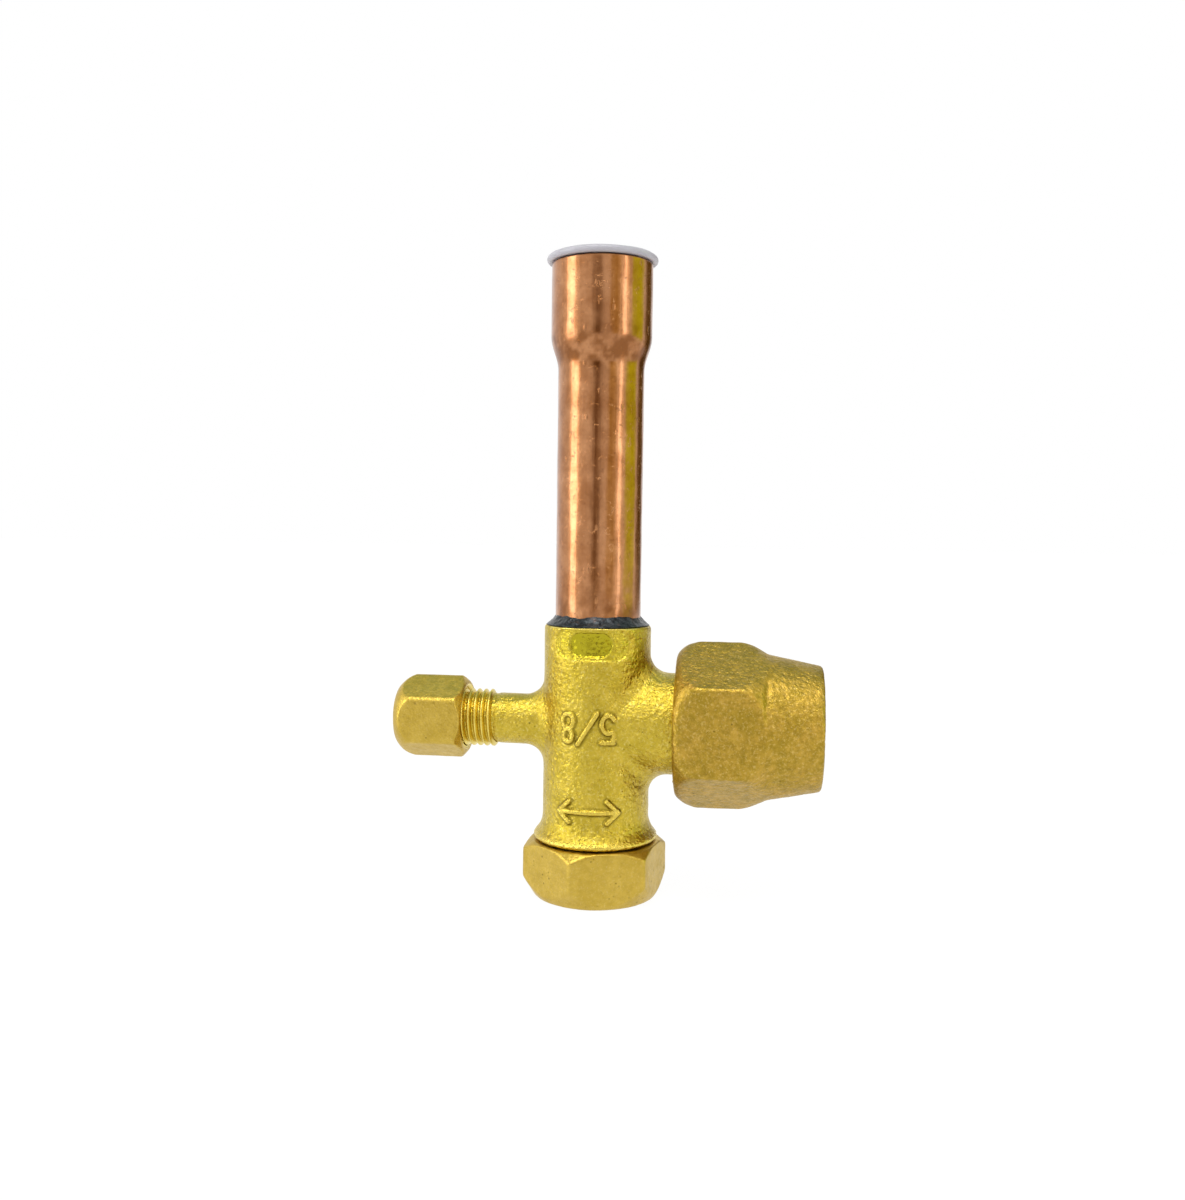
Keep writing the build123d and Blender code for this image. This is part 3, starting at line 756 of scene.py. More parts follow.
def unrolled(points):
    """Places on the barrel laid flat: round the front, and up."""
    return np.stack([barrel_radius * np.arctan2(points[:, 0], -points[:, 1]), points[:, 2]], axis=1)


def inside_slot(places, half, rounding, edge):
    """1 inside an oblong on the pad's centre line, falling to 0 across its rim."""
    away = to_stroke(places, [(-half, pad_height), (half, pad_height)])
    return 1 - soft_step(away, rounding - edge, rounding + edge)


def on_barrel_front(points):
    """Whether each point is on the front of the barrel, where the marks are."""
    reach = round_places(points)[1]
    return (reach < barrel_radius + 0.5) & (points[:, 1] < -5) & (points[:, 2] > 13)


def refined_front(skin):
    """Divides each face once more on the front of the barrel."""
    form = bmesh.new()
    form.from_mesh(skin)
    inside = on_barrel_front(points_of(skin))
    form.verts.ensure_lookup_table()
    edges = [e for e in form.edges if all(inside[v.index] for v in e.verts)]
    bmesh.ops.subdivide_edges(form, edges=edges, cuts=1, use_grid_fill=True)
    return mesh_of(form, "finer")


def mark_relief(points):
    """Millimetres outwards at each point for the marks, the pad and the oval."""
    places = unrolled(points)
    nearest = np.min([to_stroke(places, path) for path in strokes], axis=0)
    raised = stroke_rise * (1 - soft_step(nearest, stroke_half - 0.24, stroke_half + 0.14))
    pads = 0.18 * inside_slot(places, pad_half, pad_round, 0.2)
    pads = pads + 0.2 * inside_slot(places, oval_half, oval_round, 0.2)
    return (raised - pads) * on_barrel_front(points)


def mark_edges(points):
    """1 on the tops of the strokes and 1 in the narrow line at their foot, as two values."""
    nearest = np.min([to_stroke(unrolled(points), path) for path in strokes], axis=0)
    front = on_barrel_front(points)
    tops = 1 - soft_step(nearest, stroke_half - 0.3, stroke_half - 0.05)
    feet = np.exp(-(((nearest - stroke_half - 0.12) / 0.22) ** 2))
    return tops * front, feet * front


def die_faces(points):
    """How smooth the die left each point: fully in the oval, half in the pad round it."""
    places = unrolled(points)
    pad = inside_slot(places, pad_half, pad_round, 0.4)
    oval = inside_slot(places, oval_half, oval_round, 0.3)
    return (0.45 * pad + 0.55 * oval) * on_barrel_front(points)


print("pads at", round(pad_height, 1), "mm, marks", stroke_rise, "mm proud")

# %% [markdown]
# Now the skin itself: an even net, finer on the front, and told point by point whether it is
# forged. The outside is told from the bores by how far a point is from the main and the side
# axis, so that only forged skin gets lumps. The collar's underside sits right on the cap, so it
# is let down a hair.

# %% Net the body
body_square = 0.29
barrel_bore, left_bore, right_bore = 8.5, 3.6, 8.2
left_neck_end, right_neck_end = 17.9, 15.2
turned_foot, turned_top = 6.8, 0.35


def forged_parts(points, ways=None):
    """Whether the body keeps its forged skin at each point; elsewhere it was turned or bored."""
    x, y, z = points.T
    from_main = np.hypot(x, y)
    from_side = np.hypot(y, z - port_height)
    above_foot, below_top = z > body_low.z + turned_foot, z < body_top - turned_top
    barrel = (from_main > barrel_bore) & above_foot & below_top
    left_neck = (x < -8) & (x > -left_neck_end) & (from_side > left_bore)
    right_neck = (x > 8) & (x < right_neck_end) & (from_side > right_bore)
    return barrel | left_neck | right_neck


body_skin = refined_front(even_skin(body_solid, body_square, 5)[0])
body_net = Net(body_skin)
body_points = points_of(body_skin)
from_axis = round_places(body_points)[1]
forged = body_net.relaxed(forged_parts(body_points).astype(float), 3)
calm = 1 - np.clip(die_faces(body_points) + mark_edges(body_points)[0], 0, 1)
uneven = 0.05 * lumps(body_points, 3.4, seed=1.3)
uneven = uneven + 0.024 * calm * lumps(body_points, 0.75, 2, seed=4.1)
collar_underside = box_of("stem_cap")[1].z + 0.3
on_collar = (np.abs(body_points[:, 2] - collar_underside) < 0.12) & (from_axis > 10)
collar_drop = 0.16
body_points[:, 2] -= body_net.relaxed(collar_drop * on_collar, 2)
put_points(body_skin, body_points)
print(f"body net: {len(body_points)} points, {forged.mean():.0%} of them forged")

# %% [markdown]
# Relaxing has one bad habit: it draws the wall of a bore inwards, and here a stem slides in the
# bore. So the bores are eased by a few hundredths, and whatever still stands in the stem's way is
# moved back out: the wall of the gland, the ledge that stops the stem, and the wall of the
# chamber above.

# %% Keep the bores open for the stem
gland_radius, chamber_radius = 7.0, 6.0
bore_ease, wall_room, ledge_room = 0.09, 0.07, 0.14


def bore_ends(radius):
    """Lowest and highest point of a bore along the main axis."""
    points = points_of(body_solid)
    heights = points[np.abs(round_places(points)[1] - radius) < 0.02, 2]
    return heights.min(), heights.max()


gland_top = bore_ends(gland_radius)[1]
chamber_low, chamber_top = bore_ends(chamber_radius)


def widened(points, which, radius):
    """Moves the chosen points out to a radius from the main axis, if they are nearer to it."""
    reach = round_places(points[which])[1]
    points[which, :2] *= (np.maximum(reach, radius) / reach)[:, None]


def true_bore(points):
    """Points of the gland's wall, its ledge and the chamber, back where they were bored."""
    reach, z = round_places(points)[1], points[:, 2].copy()
    near = (np.abs(reach - gland_radius) < 0.8) & (z > 0.5)
    corner = near & (reach < gland_radius + 0.12) & (np.abs(z - gland_top) < 0.32)
    widened(points, near & (z < gland_top - 0.02), gland_radius + wall_room)
    points[corner, 2] = np.maximum(z[corner], gland_top + ledge_room)
    in_chamber = (reach < chamber_radius) & (z > chamber_low + 0.2) & (z < chamber_top - 0.1)
    widened(points, in_chamber, chamber_radius - 0.12)
    return points


print(f"gland up to {gland_top:.2f} mm, chamber from {chamber_low:.2f} to {chamber_top:.2f} mm")

# %% [markdown]
# Everything is pressed in at once, along the normals of the smooth skin, so that marks and lumps
# don't disturb each other's directions.

# %% Press the marks, the lumps and the bores
bored = (from_axis < 8.3) & (body_points[:, 2] > 0) & (body_points[:, 2] < body_top - 3)
eased = bore_ease * body_net.relaxed(bored & (forged < 0.05), 2)
pressed(body_skin, mark_relief(body_points) + forged * uneven - eased)
put_points(body_skin, true_bore(points_of(body_skin)))
print("points eased in the bores:", int((eased > 0).sum()))

# %% [markdown]
# Wear follows from the finished shape: ridges and the tops of the marks are rubbed, and the pale
# colour on the ridges is partly a painted highlight. A pale band on the lip of the collar is a
# painted highlight only. Hollows and the feet of the marks are darker. The finish reads these as
# values on the points. Last, the collapse modifier thins out the net where the surface is plain.

# %% Wear the skin, paint its highlights and thin it out
ridge_height = sharpness(body_skin, body_net, body_square)
stroke_tops, stroke_feet = mark_edges(body_points)
# A pale band round the lip of the collar: a painted highlight, stored with the wear.
lip_highlight = np.exp(-(((body_points[:, 2] - collar_underside - 0.7) / 0.55) ** 2))
lip_highlight = lip_highlight * soft_step(from_axis, 10.8, 11.4)
rubbed_and_highlight = np.max([soft_step(ridge_height, 0.14, 0.5), 0.6 * stroke_tops, 0.9 * lip_highlight], axis=0)
# Darker in the hollows and along the feet of the marks.
darker_in_hollows = np.maximum(soft_step(-ridge_height, 0.1, 0.45), 0.75 * stroke_feet)
store(body_skin, "worn", forged * rubbed_and_highlight)
store(body_skin, "hollow", forged * darker_in_hollows)
store(body_skin, "die_face", die_faces(body_points))
body_skin = through_modifier(body_skin, "DECIMATE", ratio=0.6)
print("body skin:", len(body_skin.polygons), "faces")

# %% [markdown]
# The threads are cut after forging, so they join the skin afterwards and keep their sharp crests.
# Each runs from its neck's run-out to its mouth, and the chamfer at the charging port's mouth
# cuts its tops.

# %% Cut the body's threads and show it
port_mouth, mouth_radius = -body_low.x, 3.2
flare_mouth = body_high.x - 2.6
service_runout, flare_runout, spigot_runout = 18.7, 16.9, -9.9
tapped_from, tapped_to = 18.9, 31.4
body_threads = [
    service_port.ridge(service_runout, port_mouth, limit=lambda s: mouth_radius + port_mouth - s),
    flare_port.ridge(flare_runout, flare_mouth),
    cap_spigot.ridge(spigot_runout, -body_low.z - 0.2),
    stem_screw.ridge(tapped_from, tapped_to, female=True),
]
show("forged_body", two_tone(body_skin, body_threads, forged_parts), (forged_brass, turned_brass),
     "valve", stands_for=["valve_body"])

# %% [markdown]
# ## The flare nut
#
# The nut is forged from the same bar but blasted with coarser shot, and the cone beyond its
# hexagon keeps the wrinkled look of orange peel. Its bore and thread are turned. The skin's own
# normals say which faces look outwards, so the lumps stay off the thread and the seat. The caps
# are forged by the same steps, so these are written once.


# %% Write the forging once for nut and caps
def forged_piece(node, square, rounds, outside, swell, thread, keep=0.6, softer=None):
    """A forged hexagon piece and thread: soft arrises, lumps outside, worn ridges with painted
    highlight.
    """
    skin, net = even_skin(welded_copy(node), square, rounds)
    points = points_of(skin)
    plain = 1
    if softer is not None:
        share = net.relaxed(softer(points) * outside(points, normals_of(skin)), 4)[:, None]
        points = points + share * (net.relaxed(points, 60) - points)
        put_points(skin, points)
        plain = 1 - 0.85 * softer(points)
    proud = sharpness(skin, net, square)
    on_outside = net.relaxed(outside(points, normals_of(skin)).astype(float), 3)
    pressed(skin, -on_outside * swell(points))
    # Pale worn ridges, whose colour is also a painted highlight along the arrises.
    store(skin, "worn", on_outside * plain * soft_step(proud, 0.24, 0.52))
    store(skin, "hollow", on_outside * soft_step(-proud, 0.12, 0.5))
    return two_tone(through_modifier(skin, "DECIMATE", ratio=keep), [thread], outside)


def away_from_bore(radius, axes, centre):
    """A test for points outside a bore that face away from its axis.

    The bore is round in the two axes; centre is where its own axis crosses them.
    """
    def test(points, ways):
        spoke = points[:, axes] - centre
        reach = np.hypot(*spoke.T)
        facing = (spoke * ways[:, axes]).sum(axis=1)
        return (reach > radius) & ((facing > -0.1 * reach) | (reach > radius + 1.2))
    return test


nut_outside = away_from_bore(8.6, (1, 2), (0, port_height))
stem_cap_side = away_from_bore(9.95, (0, 1), (0, 0))
service_cap_side = away_from_bore(5.9, (1, 2), (0, port_height))
print("thread roots inside these radii:", *(round(t.root, 1) for t in (flare_port, cap_spigot)))

# %% [markdown]
# The nut's die was worn: its chamfered end and the shoulder before its cone are rounder than the
# rest, and a crease runs where the cone begins.

# %% Forge the nut
nut_low = box_of("flare_nut")[0]
nut_cone_start = nut_low.x + 16.8


def nut_swell(points):
    """Lumps on the hexagon and orange peel on the cone, in millimetres inwards."""
    on_cone = soft_step(points[:, 0], nut_cone_start - 1, nut_cone_start + 1)
    broad = 0.05 * (1 + lumps(points, 4.5, seed=2.2))
    peel = 0.13 * np.abs(lumps(points, 0.85, 2, seed=6.0))
    rise = points[:, 2] - port_height
    upper = soft_step(rise, 0.5, 4.0) * (1 - soft_step(rise, 8.0, 10.5))
    crease = 0.26 * upper * np.exp(-(((points[:, 0] - nut_cone_start) / 0.5) ** 2))
    return broad + peel * (0.1 + 0.9 * on_cone) + crease


def nut_ends(points):
    """1 where the die's wear left the piece round: the chamfered end and the shoulder before the
    cone.
    """
    x = points[:, 0]
    near_end = 1 - soft_step(x, nut_low.x + 3.0, nut_low.x + 4.5)
    shoulder = soft_step(x, nut_cone_start - 5.0, nut_cone_start - 3.0)
    return np.maximum(near_end, shoulder * (1 - soft_step(x, nut_cone_start - 1, nut_cone_start)))


nut_thread_end = 26.8
nut_thread = flare_port.ridge(nut_low.x + 0.4, nut_thread_end, female=True)
nut_mesh = forged_piece("flare_nut", 0.27, 6, nut_outside, nut_swell, nut_thread, softer=nut_ends)
show("forged_flare_nut", nut_mesh, (nut_brass, turned_brass), "nut",
     stands_for=["flare_nut"])

# %% [markdown]
# ## The two caps
#
# Both caps are made like the nut, with a finer net because they are smaller, and a lighter touch
# because their blasting is finer. Their closed ends are outside too, though they face along the
# bore.

# %% Make the stem cap and the service cap
cap_low, cap_high = box_of("stem_cap")
service_low, service_high = box_of("service_cap")


def cap_swell(points):
    """Lumps and a fine peel, in millimetres inwards."""
    peel = 0.02 * np.abs(lumps(points, 0.8, 2, seed=7.0))
    return 0.03 * (1 + lumps(points, 4.0, seed=3.7)) + peel


def stem_cap_outside(points, ways):
    """Outside the bore, or under the cap's closed end."""
    return stem_cap_side(points, ways) | (points[:, 2] < cap_low.z + 1.0)


def service_cap_outside(points, ways):
    """Outside the bore, or on the cap's closed end."""
    return service_cap_side(points, ways) | (points[:, 0] < service_low.x + 1.0)


stem_cap_thread_end, service_cap_thread_end = -3.6, 33.0
stem_cap_thread = cap_spigot.ridge(-cap_high.z + 0.3, stem_cap_thread_end, female=True)
stem_cap_mesh = forged_piece(
    "stem_cap", 0.23, 5, stem_cap_outside, cap_swell, stem_cap_thread, keep=0.7)
show("forged_stem_cap", stem_cap_mesh, (cap_brass, turned_brass), "cap",
     stands_for=["stem_cap"])
service_cap_thread = service_port.ridge(
    -service_high.x + 0.3, service_cap_thread_end, female=True)
service_cap_mesh = forged_piece(
    "service_cap", 0.17, 6, service_cap_outside, cap_swell, service_cap_thread)
show("forged_service_cap", service_cap_mesh, (cap_brass, turned_brass), "service_cap",
     stands_for=["service_cap"])

# %% [markdown]
# ## The copper stub
#
# Tube is a shape that is best wound: one outline in radius and height, repeated round the axis on
# a fine grid, gives clean stretched squares that reflect without ripples. The outline runs up the
# outside, over the rim and down the bore. The bell was made by driving a punch in, so its
# shoulder has a small flat where the punch dragged, and the tube is a few hundredths out of
# round.


# %% Wind an outline round the main axis
def wound(outline, around=180):
    """A closed grid from an outline of (radius, height) pairs in millimetres, and its angles."""
    form = bmesh.new()
    rows = []
    for radius, height in outline:
        rows.append([
            form.verts.new(Vector((radius * cos(a), radius * sin(a), height)) * mm)
            for a in (tau * i / around for i in range(around))
        ])
    for before, after in zip(rows, rows[1:] + rows[:1]):
        for i in range(around):
            j = (i + 1) % around
            form.faces.new((before[i], before[j], after[j], after[i]))
    bmesh.ops.recalc_face_normals(form, faces=form.faces)
    return mesh_of(form, "wound")


def between(start, end, step):
    """Heights from start to end at about that step, without the end itself."""
    count = max(1, round(abs(end - start) / step))
    return [start + (end - start) * i / count for i in range(count)]


line_radius = 15.88 / 2
line_wall = 1.25
bell_radius = stub_high.x
bell_bore = bell_radius - line_wall
bell_length, shoulder_length = 13.2, 6.2
bell_start = stub_top - bell_length
bell_foot = bell_start - shoulder_length
rim_round = 0.35


def stub_radius(height, low, high):
    """Radius at a height: straight tube, a smooth shoulder and the straight bell."""
    return low + (high - low) * float(soft_step(np.array(height), bell_foot, bell_start))


climb = between(stub_low.z, stub_top - rim_round, 0.5)
outline = [(stub_radius(h, line_radius, bell_radius), h) for h in climb]
outline += [(bell_radius - rim_round * (1 - cos(a)), stub_top - rim_round * (1 - sin(a)))
            for a in (radians(15 * i) for i in range(7))]
outline += [(bell_bore, stub_top)]
outline += [(stub_radius(h, line_radius - line_wall, bell_bore), h)
            for h in between(stub_top - 0.6, stub_low.z, 1.2)]
outline += [(line_radius - line_wall, stub_low.z)]
stub_mesh = wound(outline)
print("stub grid:", len(stub_mesh.vertices), "points")

# %% [markdown]
# Dents are soft bowls pressed into the outside: each has a place, a size and a depth. A few are
# listed one by one, at the shoulder where the punch dragged and where the tube was gripped, and a
# seeded handful of small nicks is scattered over the rest.

# %% Dent the stub and show it
dent_seed = 11
shoulder_dent = (radians(-52), bell_foot + 3.4, 1.7, 0.16)
grip_dents = [(radians(-118), 76.0, 2.2, 0.05), (radians(-70), 64.0, 3.0, 0.05),
              (radians(-35), 88.0, 2.5, 0.04)]


def dent(points, ways, dents):
    """Millimetres inwards at each point for a list of (angle, height, size, depth)."""
    around, radius = round_places(points)
    outwards = (points[:, :2] * ways[:, :2]).sum(axis=1) > 0
    total = np.zeros(len(points))
    for angle, height, size, depth in dents:
        turn = np.angle(np.exp(1j * (around - angle))) * radius
        total += depth * np.exp(-(turn**2 + (points[:, 2] - height) ** 2) / (size**2 / 2))
    return total * outwards


def dress_stub():
    """Dents, nicks and out-of-roundness, and heat tint plus a darker shoulder band as a value."""
    chance = np.random.default_rng(dent_seed)
    nicks = [(chance.uniform(-pi, pi), chance.uniform(body_top + 3, stub_top - 2),
              chance.uniform(0.3, 0.8), chance.uniform(0.01, 0.035)) for _ in range(90)]
    points, ways = points_of(stub_mesh), normals_of(stub_mesh)
    around = round_places(points)[0]
    oval = 0.02 * (1 + np.cos(2 * around + points[:, 2] / 30))
    wave = 0.02 * (1 + lumps(points, 7.0, 2, seed=5.5))
    wave = wave + 0.022 * lumps(points * (1, 1, 0.35), 1.9, 2, seed=7.7)
    pressed(stub_mesh, -(dent(points, ways, [shoulder_dent, *grip_dents, *nicks])
                         + (oval + wave) * (points[:, 2] > body_top)))
    tint = 0.9 * (1 - soft_step(points[:, 2], body_top + 1, body_top + 9))
    # Patchy darker brown band round the bell's shoulder.
    shoulder = np.exp(-(((points[:, 2] - bell_foot - 3) / 3.2) ** 2))
    patchy = 0.45 + 1.8 * lumps(points, 2.6, 4, seed=8.8)
    handled = 0.15 * soft_step(lumps(points * (1, 1, 0.5), 6.0, 3, seed=3.3), 0.0, 0.35)
    store(stub_mesh, "heat_and_shoulder_tint", np.clip((tint + 1.5 * shoulder) * patchy + handled, 0, 1))


dress_stub()
show("drawn_copper_stub", stub_mesh, [drawn_copper], "valve",
     stands_for=["copper_stub"])

# %% [markdown]
# ## The braze
#
# Molten braze is drawn up the copper by its own surface, higher where the flame dwelt, and stops
# in a wavy line. So the ring is wound like the tube, then its top edge is moved up and down by
# noise that runs round the joint, and a few beads stand on it where flux boiled.

# %% Run the braze round the stub
braze_rows = 12
braze_outer = braze_high.x


def braze_outline():
    """From the edge of the body, up a slightly hollow cone to the copper, and back down inside."""
    slope = []
    for i in range(braze_rows + 1):
        t = i / braze_rows
        hollow = 0.18 * sin(pi * t)
        slope.append((braze_outer - (braze_outer - line_radius + 0.1) * t - hollow,
                      braze_low.z + (braze_high.z - braze_low.z) * t))
    return slope + [(line_radius - 0.12, braze_low.z)]


def dress_braze(mesh):
    """A wavy upper line, lumps and a few beads on the side where the flame was held."""
    points, ways = points_of(mesh), normals_of(mesh)
    around = round_places(points)[0]
    share = (points[:, 2] - braze_low.z) / (braze_high.z - braze_low.z)
    ring = 3 * np.stack([np.cos(around), np.sin(around), 0 * around], axis=1)
    level = 0.42 * lumps(ring, 1.3, 3, seed=9.2) - 0.22
    points[:, 2] += share * np.clip(level, -0.9, 0.0)
    put_points(mesh, points)
    rough = 0.09 * lumps(points, 0.8, 3, seed=2.9)
    beads = dent(points, ways, [(radians(-122), braze_low.z + 0.9, 0.8, -0.3),
                                (radians(-110), braze_low.z + 0.7, 0.6, -0.25),
                                (radians(-116), braze_low.z + 1.0, 0.3, 0.45),
                                (radians(-62), braze_low.z + 0.9, 0.9, -0.15)])
    pressed(mesh, share * (1 - share) * 4 * (rough - beads))


braze_mesh = wound(braze_outline(), around=240)
dress_braze(braze_mesh)
show("flux_braze_ring", braze_mesh, [flux_braze], "valve", stands_for=["braze_fillet"])

# %% [markdown]
# ## The end plug
#
# The plug is moulded in soft plastic: a thin barrel that grips the bell and a disc that covers
# the rim. Fresh from the mould the disc is flat, but it has been pushed in by hand, so its edge
# droops a little here and there.

# %% Mould the end plug
plug_disc = plug_high.x
plug_under = stub_top + 0.1
plug_face = stub_top + 1.4
plug_barrel = bell_bore - 0.05
plug_wall = 1.0


def plug_outline():
    """Round the disc's edge, under it, down the barrel, up its bore and across the closed end."""
    edge = (plug_face - plug_under) / 2
    disc = [(0.02 + (plug_disc - edge) * t, plug_high.z - 0.3 * t**2)
            for t in (i / 14 for i in range(14))]
    rim = [(plug_disc - edge + edge * sin(a), plug_under + edge + edge * cos(a))
           for a in (radians(20 * i) for i in range(10))]
    under = [(r, plug_under) for r in between(plug_disc - edge - 0.2, plug_barrel, 0.3)]
    barrel = [(plug_barrel, z) for z in between(plug_under, plug_low.z + 0.6, 0.8)]
    foot = [(plug_barrel - 0.25, plug_low.z + 0.1), (plug_barrel - 0.6, plug_low.z)]
    bore = [(plug_barrel - plug_wall, z)
            for z in between(plug_low.z + 0.2, plug_face - plug_wall, 0.8)]
    return disc + rim + under + barrel + foot + bore + [(0.02, plug_face - plug_wall)]


def dress_plug(mesh):
    """Lets the disc's edge droop and its face ripple, always downwards."""
    points = points_of(mesh)
    on_disc = points[:, 2] > plug_under - 0.05
    edge = soft_step(round_places(points)[1], plug_barrel + 0.6, plug_disc)
    points[:, 2] -= on_disc * edge * 0.1 * (1 + lumps(points * (1, 1, 0), 8.0, 2, seed=3.1))
    put_points(mesh, points)


plug_mesh = wound(plug_outline(), around=144)
dress_plug(plug_mesh)
show("soft_end_plug", plug_mesh, [milky_plastic], "end_plug",
     stands_for=["tube_plug"])

# %% [markdown]
# ## The core's spring
#
# When the core pin is pressed, its collar pushes the spring together against the far wall of the
# core. A body that only slides can't get shorter; the spring is its own piece here, with its own
# copy of its mesh, and it stays with the body.

# %% Give the spring its own piece and mesh
core_coil = show("core_coil", welded_copy("core_spring"), [spring_steel], "valve",
                 stands_for=["core_spring"])
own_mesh(core_coil)

# %% [markdown]
# ## Solids that stay
#
# The stem, rings, gaskets, bonnet and valve core are already right in the CAD. They only need
# their finishes, and the stem its thread. Each is assigned to the material slots of the CAD
# object itself.

# %% Give the remaining solids their finishes
stem_thread_from, stem_thread_to = 10.9, 22.6
stem_thread = stem_screw.ridge(stem_thread_from, stem_thread_to)
show("stem_thread", stem_thread, [turned_brass], "stem")
cad_finishes = {
    turned_brass: ("valve_stem", "core_barrel", "core_pin", "core_pin_cup"),
    drawn_copper: ("flare_seal_bonnet",),
    spring_steel: ("stem_retaining_ring",),
    seal_rubber: ("stem_o_ring_outer", "stem_o_ring_inner", "core_pin_seal", "service_cap_gasket"),
    white_polymer: ("stem_cap_gasket", "core_barrel_seal"),
}
for material, solids in cad_finishes.items():
    for node in solids:
        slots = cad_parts[node].data.materials
        slots.clear()
        slots.append(material)
shown = [piece.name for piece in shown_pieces()]
print("pieces shown:", len(shown))

# %% [markdown]
# ## The studio
#
# The floor and the world are plain white where the camera, a glossy surface or a clear one looks
# at them, and give a softer white light to everything else. Polished metal would look like white
# paper in such a room, so the room also holds a few cards and soft boxes: tall boxes at the left
# and right draw the bright lines down the copper, one overhead lights the tops of the necks, and
# dark cards give the metal something to be darker than. Cards are seen only in reflections.


# %% Light the room
def seen_directly(wires):
    """1 for a camera, glossy or transmission ray and 0 for any other."""
    path = wires.node("LightPath")
    seen = wires.combine("MAXIMUM", path["Is Camera Ray"], path["Is Glossy Ray"])
    return wires.combine("MAXIMUM", seen, path["Is Transmission Ray"])


def mixed(wires, share, first, second, output):
    """Sends a mix of two nodes' shaders to the tree's output."""
    mix = wires.node("MixShader", {0: share, 1: first[0], 2: second[0]})
    wires.node(output, {"Surface": mix[0]})


room_light = 0.62
world = bpy.data.worlds.new("studio")
bpy.context.scene.world = world
world.use_nodes = True
sky = Wires(world.node_tree, clear=True)
soft = sky.node("Background", {"Color": (1, 1, 1), "Strength": room_light})
white = sky.node("Background", {"Color": (1, 1, 1), "Strength": 1.0})
mixed(sky, seen_directly(sky), soft, white, "OutputWorld")
print("room light:", room_light)

# %% [markdown]
# The floor is made the same way, except that a tenth of plain white paint always shows: that
# tenth keeps the contact shadow under the cap.

# %% Lay the floor
floor_size = 12.0
floor_glow, floor_share = 1.06, 0.9


def flat(name, width, height):
    """A rectangle round the origin, facing up."""
    form = bmesh.new()
    corners = ((-1, -1), (1, -1), (1, 1), (-1, 1))
    form.faces.new([form.verts.new((x * width / 2, y * height / 2, 0)) for x, y in corners])
    return mesh_of(form, name)


def staged(name, width, height):
    """A rectangle of the studio with an empty material, and the wires of that material."""
    material = bpy.data.materials.new(name)
    material.use_nodes = True
    mesh = flat(name, width, height)
    mesh.materials.append(material)
    board = bpy.data.objects.new(name, mesh)
    bpy.context.scene.collection.objects.link(board)
    return board, Wires(material.node_tree, clear=True)


paint = staged("studio_floor", floor_size, floor_size)[1]
coat = paint.node("BsdfDiffuse", {"Color": (0.9, 0.9, 0.9)})
glow = paint.node("Emission", {"Strength": floor_glow})
mixed(paint, paint.part(seen_directly(paint), floor_share), coat, glow, "OutputMaterial")
print("floor:", floor_size, "m across")

# %% [markdown]
# Soft boxes and cards stand on a circle round the valve and face its middle. A direction is given
# as on a compass seen from above, from the front towards the right, and a height above the
# horizon. A card fades out towards its edges, so that its reflection has no hard border.

# %% Make soft boxes and cards
aim = Vector((0, 0, 55)) * mm


def stand(across, above, distance):
    """A place on the circle and the turn that faces it to the valve."""
    a, e = radians(across), radians(above)
    out = Vector((sin(a) * cos(e), -cos(a) * cos(e), sin(e)))
    facing = out.to_track_quat("Z", "Y").to_matrix().to_4x4()
    return Matrix.Translation(aim + out * distance) @ facing


def soft_box(name, across, above, width, height, glow, distance=0.7):
    """An area lamp whose face is as bright as glow."""
    data = bpy.data.lights.new(name, "AREA")
    data.shape = "RECTANGLE"
    data.size, data.size_y = width, height
    data.energy = glow * pi * width * height
    lamp = bpy.data.objects.new(name, data)
    lamp.matrix_world = stand(across, above, distance)
    lamp.visible_camera = False
    bpy.context.scene.collection.objects.link(lamp)


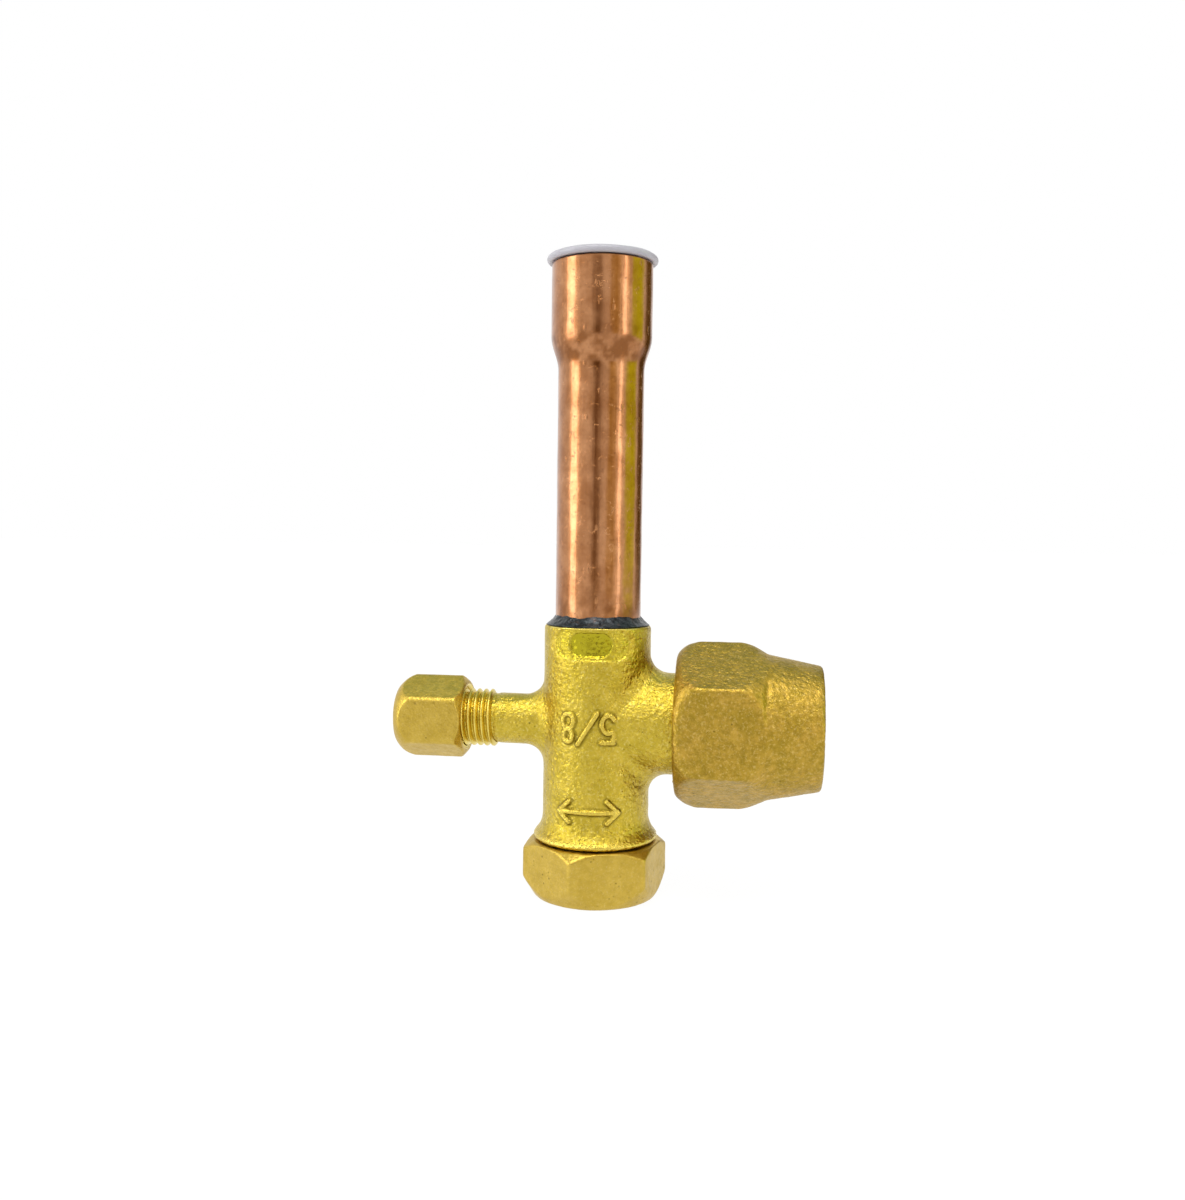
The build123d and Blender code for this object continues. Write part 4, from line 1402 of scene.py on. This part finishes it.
def card(name, across, distance, width, tone, fade=0.2, above=0, height=1.3):
    """A plain card that only reflections see, fading out over that share of its width."""
    board, wires = staged(name, width, height)
    place = wires.node("SeparateXYZ", {0: wires.node("TexCoord")["Object"]})
    solid = [
        wires.levels(wires.combine("ABSOLUTE", place[axis]), half * (1 - 2 * fade), half, 1, 0,
                     interpolation_type="SMOOTHSTEP")
        for axis, half in (("X", width / 2), ("Y", height / 2))
    ]
    mixed(wires, wires.combine("MULTIPLY", *solid), wires.node("BsdfTransparent"),
          wires.node("Emission", {"Color": tone}), "OutputMaterial")
    board.matrix_world = stand(across, above, distance)
    for ray in ("camera", "diffuse", "transmission", "volume_scatter", "shadow"):
        setattr(board, "visible_" + ray, False)


print("everything faces", [round(v / mm) for v in aim], "mm")

# %% [markdown]
# A mirror turned to the front right shows what stands twice as far round. So the card at 38 degrees
# is seen in metal that faces 19 degrees to the right, and the olive one at 96 near the right edge.

# %% Place them
soft_box("box_left", -66, 8, 0.24, 0.8, glow=3.6)
soft_box("box_right", 60, 8, 0.09, 0.8, glow=2.8)
soft_box("box_above", -6, 68, 0.32, 0.24, glow=6.8)
card("card_front", -2, 0.9, 0.6, tone=(0.18, 0.09, 0.018), fade=0.45)
card("card_gold", 38, 1.0, 0.5, tone=(0.66, 0.52, 0.2))
card("card_olive", 96, 0.9, 0.66, tone=(0.74, 1.0, 0.03), fade=0.14)
card("card_right_back", 140, 0.8, 0.6, tone=(0.16, 0.1, 0.02))
card("card_behind_above", 180, 0.8, 1.5, tone=(0.44, 0.56, 0.48), above=62, height=0.9)
print("lamps:", len(bpy.data.lights))

# %% [markdown]
# ## The camera
#
# The camera stands close, about two hundred millimetres away, a little to the right of the main
# axis and well above the floor, and looks slightly down. From so near, the mouth of the nut and
# the cap at the foot turn noticeably towards it.

# %% Place the camera
eye = Vector((27.52, -208.07, 67.27)) * mm
turn, tip, lean = (radians(degrees) for degrees in (7.83, 3.30, 0.75))
forward = Vector((-sin(turn) * cos(tip), cos(turn) * cos(tip), -sin(tip)))
level_right = Vector((cos(turn), sin(turn), 0))
level_up = level_right.cross(forward)
right = level_right * cos(lean) + level_up * sin(lean)
up = level_up * cos(lean) - level_right * sin(lean)
camera_data = bpy.data.cameras.new("camera")
camera_data.sensor_width, camera_data.lens = 36, 33.86
camera_data.clip_start, camera_data.clip_end = 0.01, 30
camera = bpy.data.objects.new("camera", camera_data)
camera.matrix_world = Matrix.Translation(eye) @ Matrix((right, up, -forward)).transposed().to_4x4()
bpy.context.scene.collection.objects.link(camera)
bpy.context.scene.camera = camera
bpy.context.scene.view_settings.view_transform = "Standard"
print(f"camera is {(eye - aim).length / mm:.0f} mm away")

# %% [markdown]
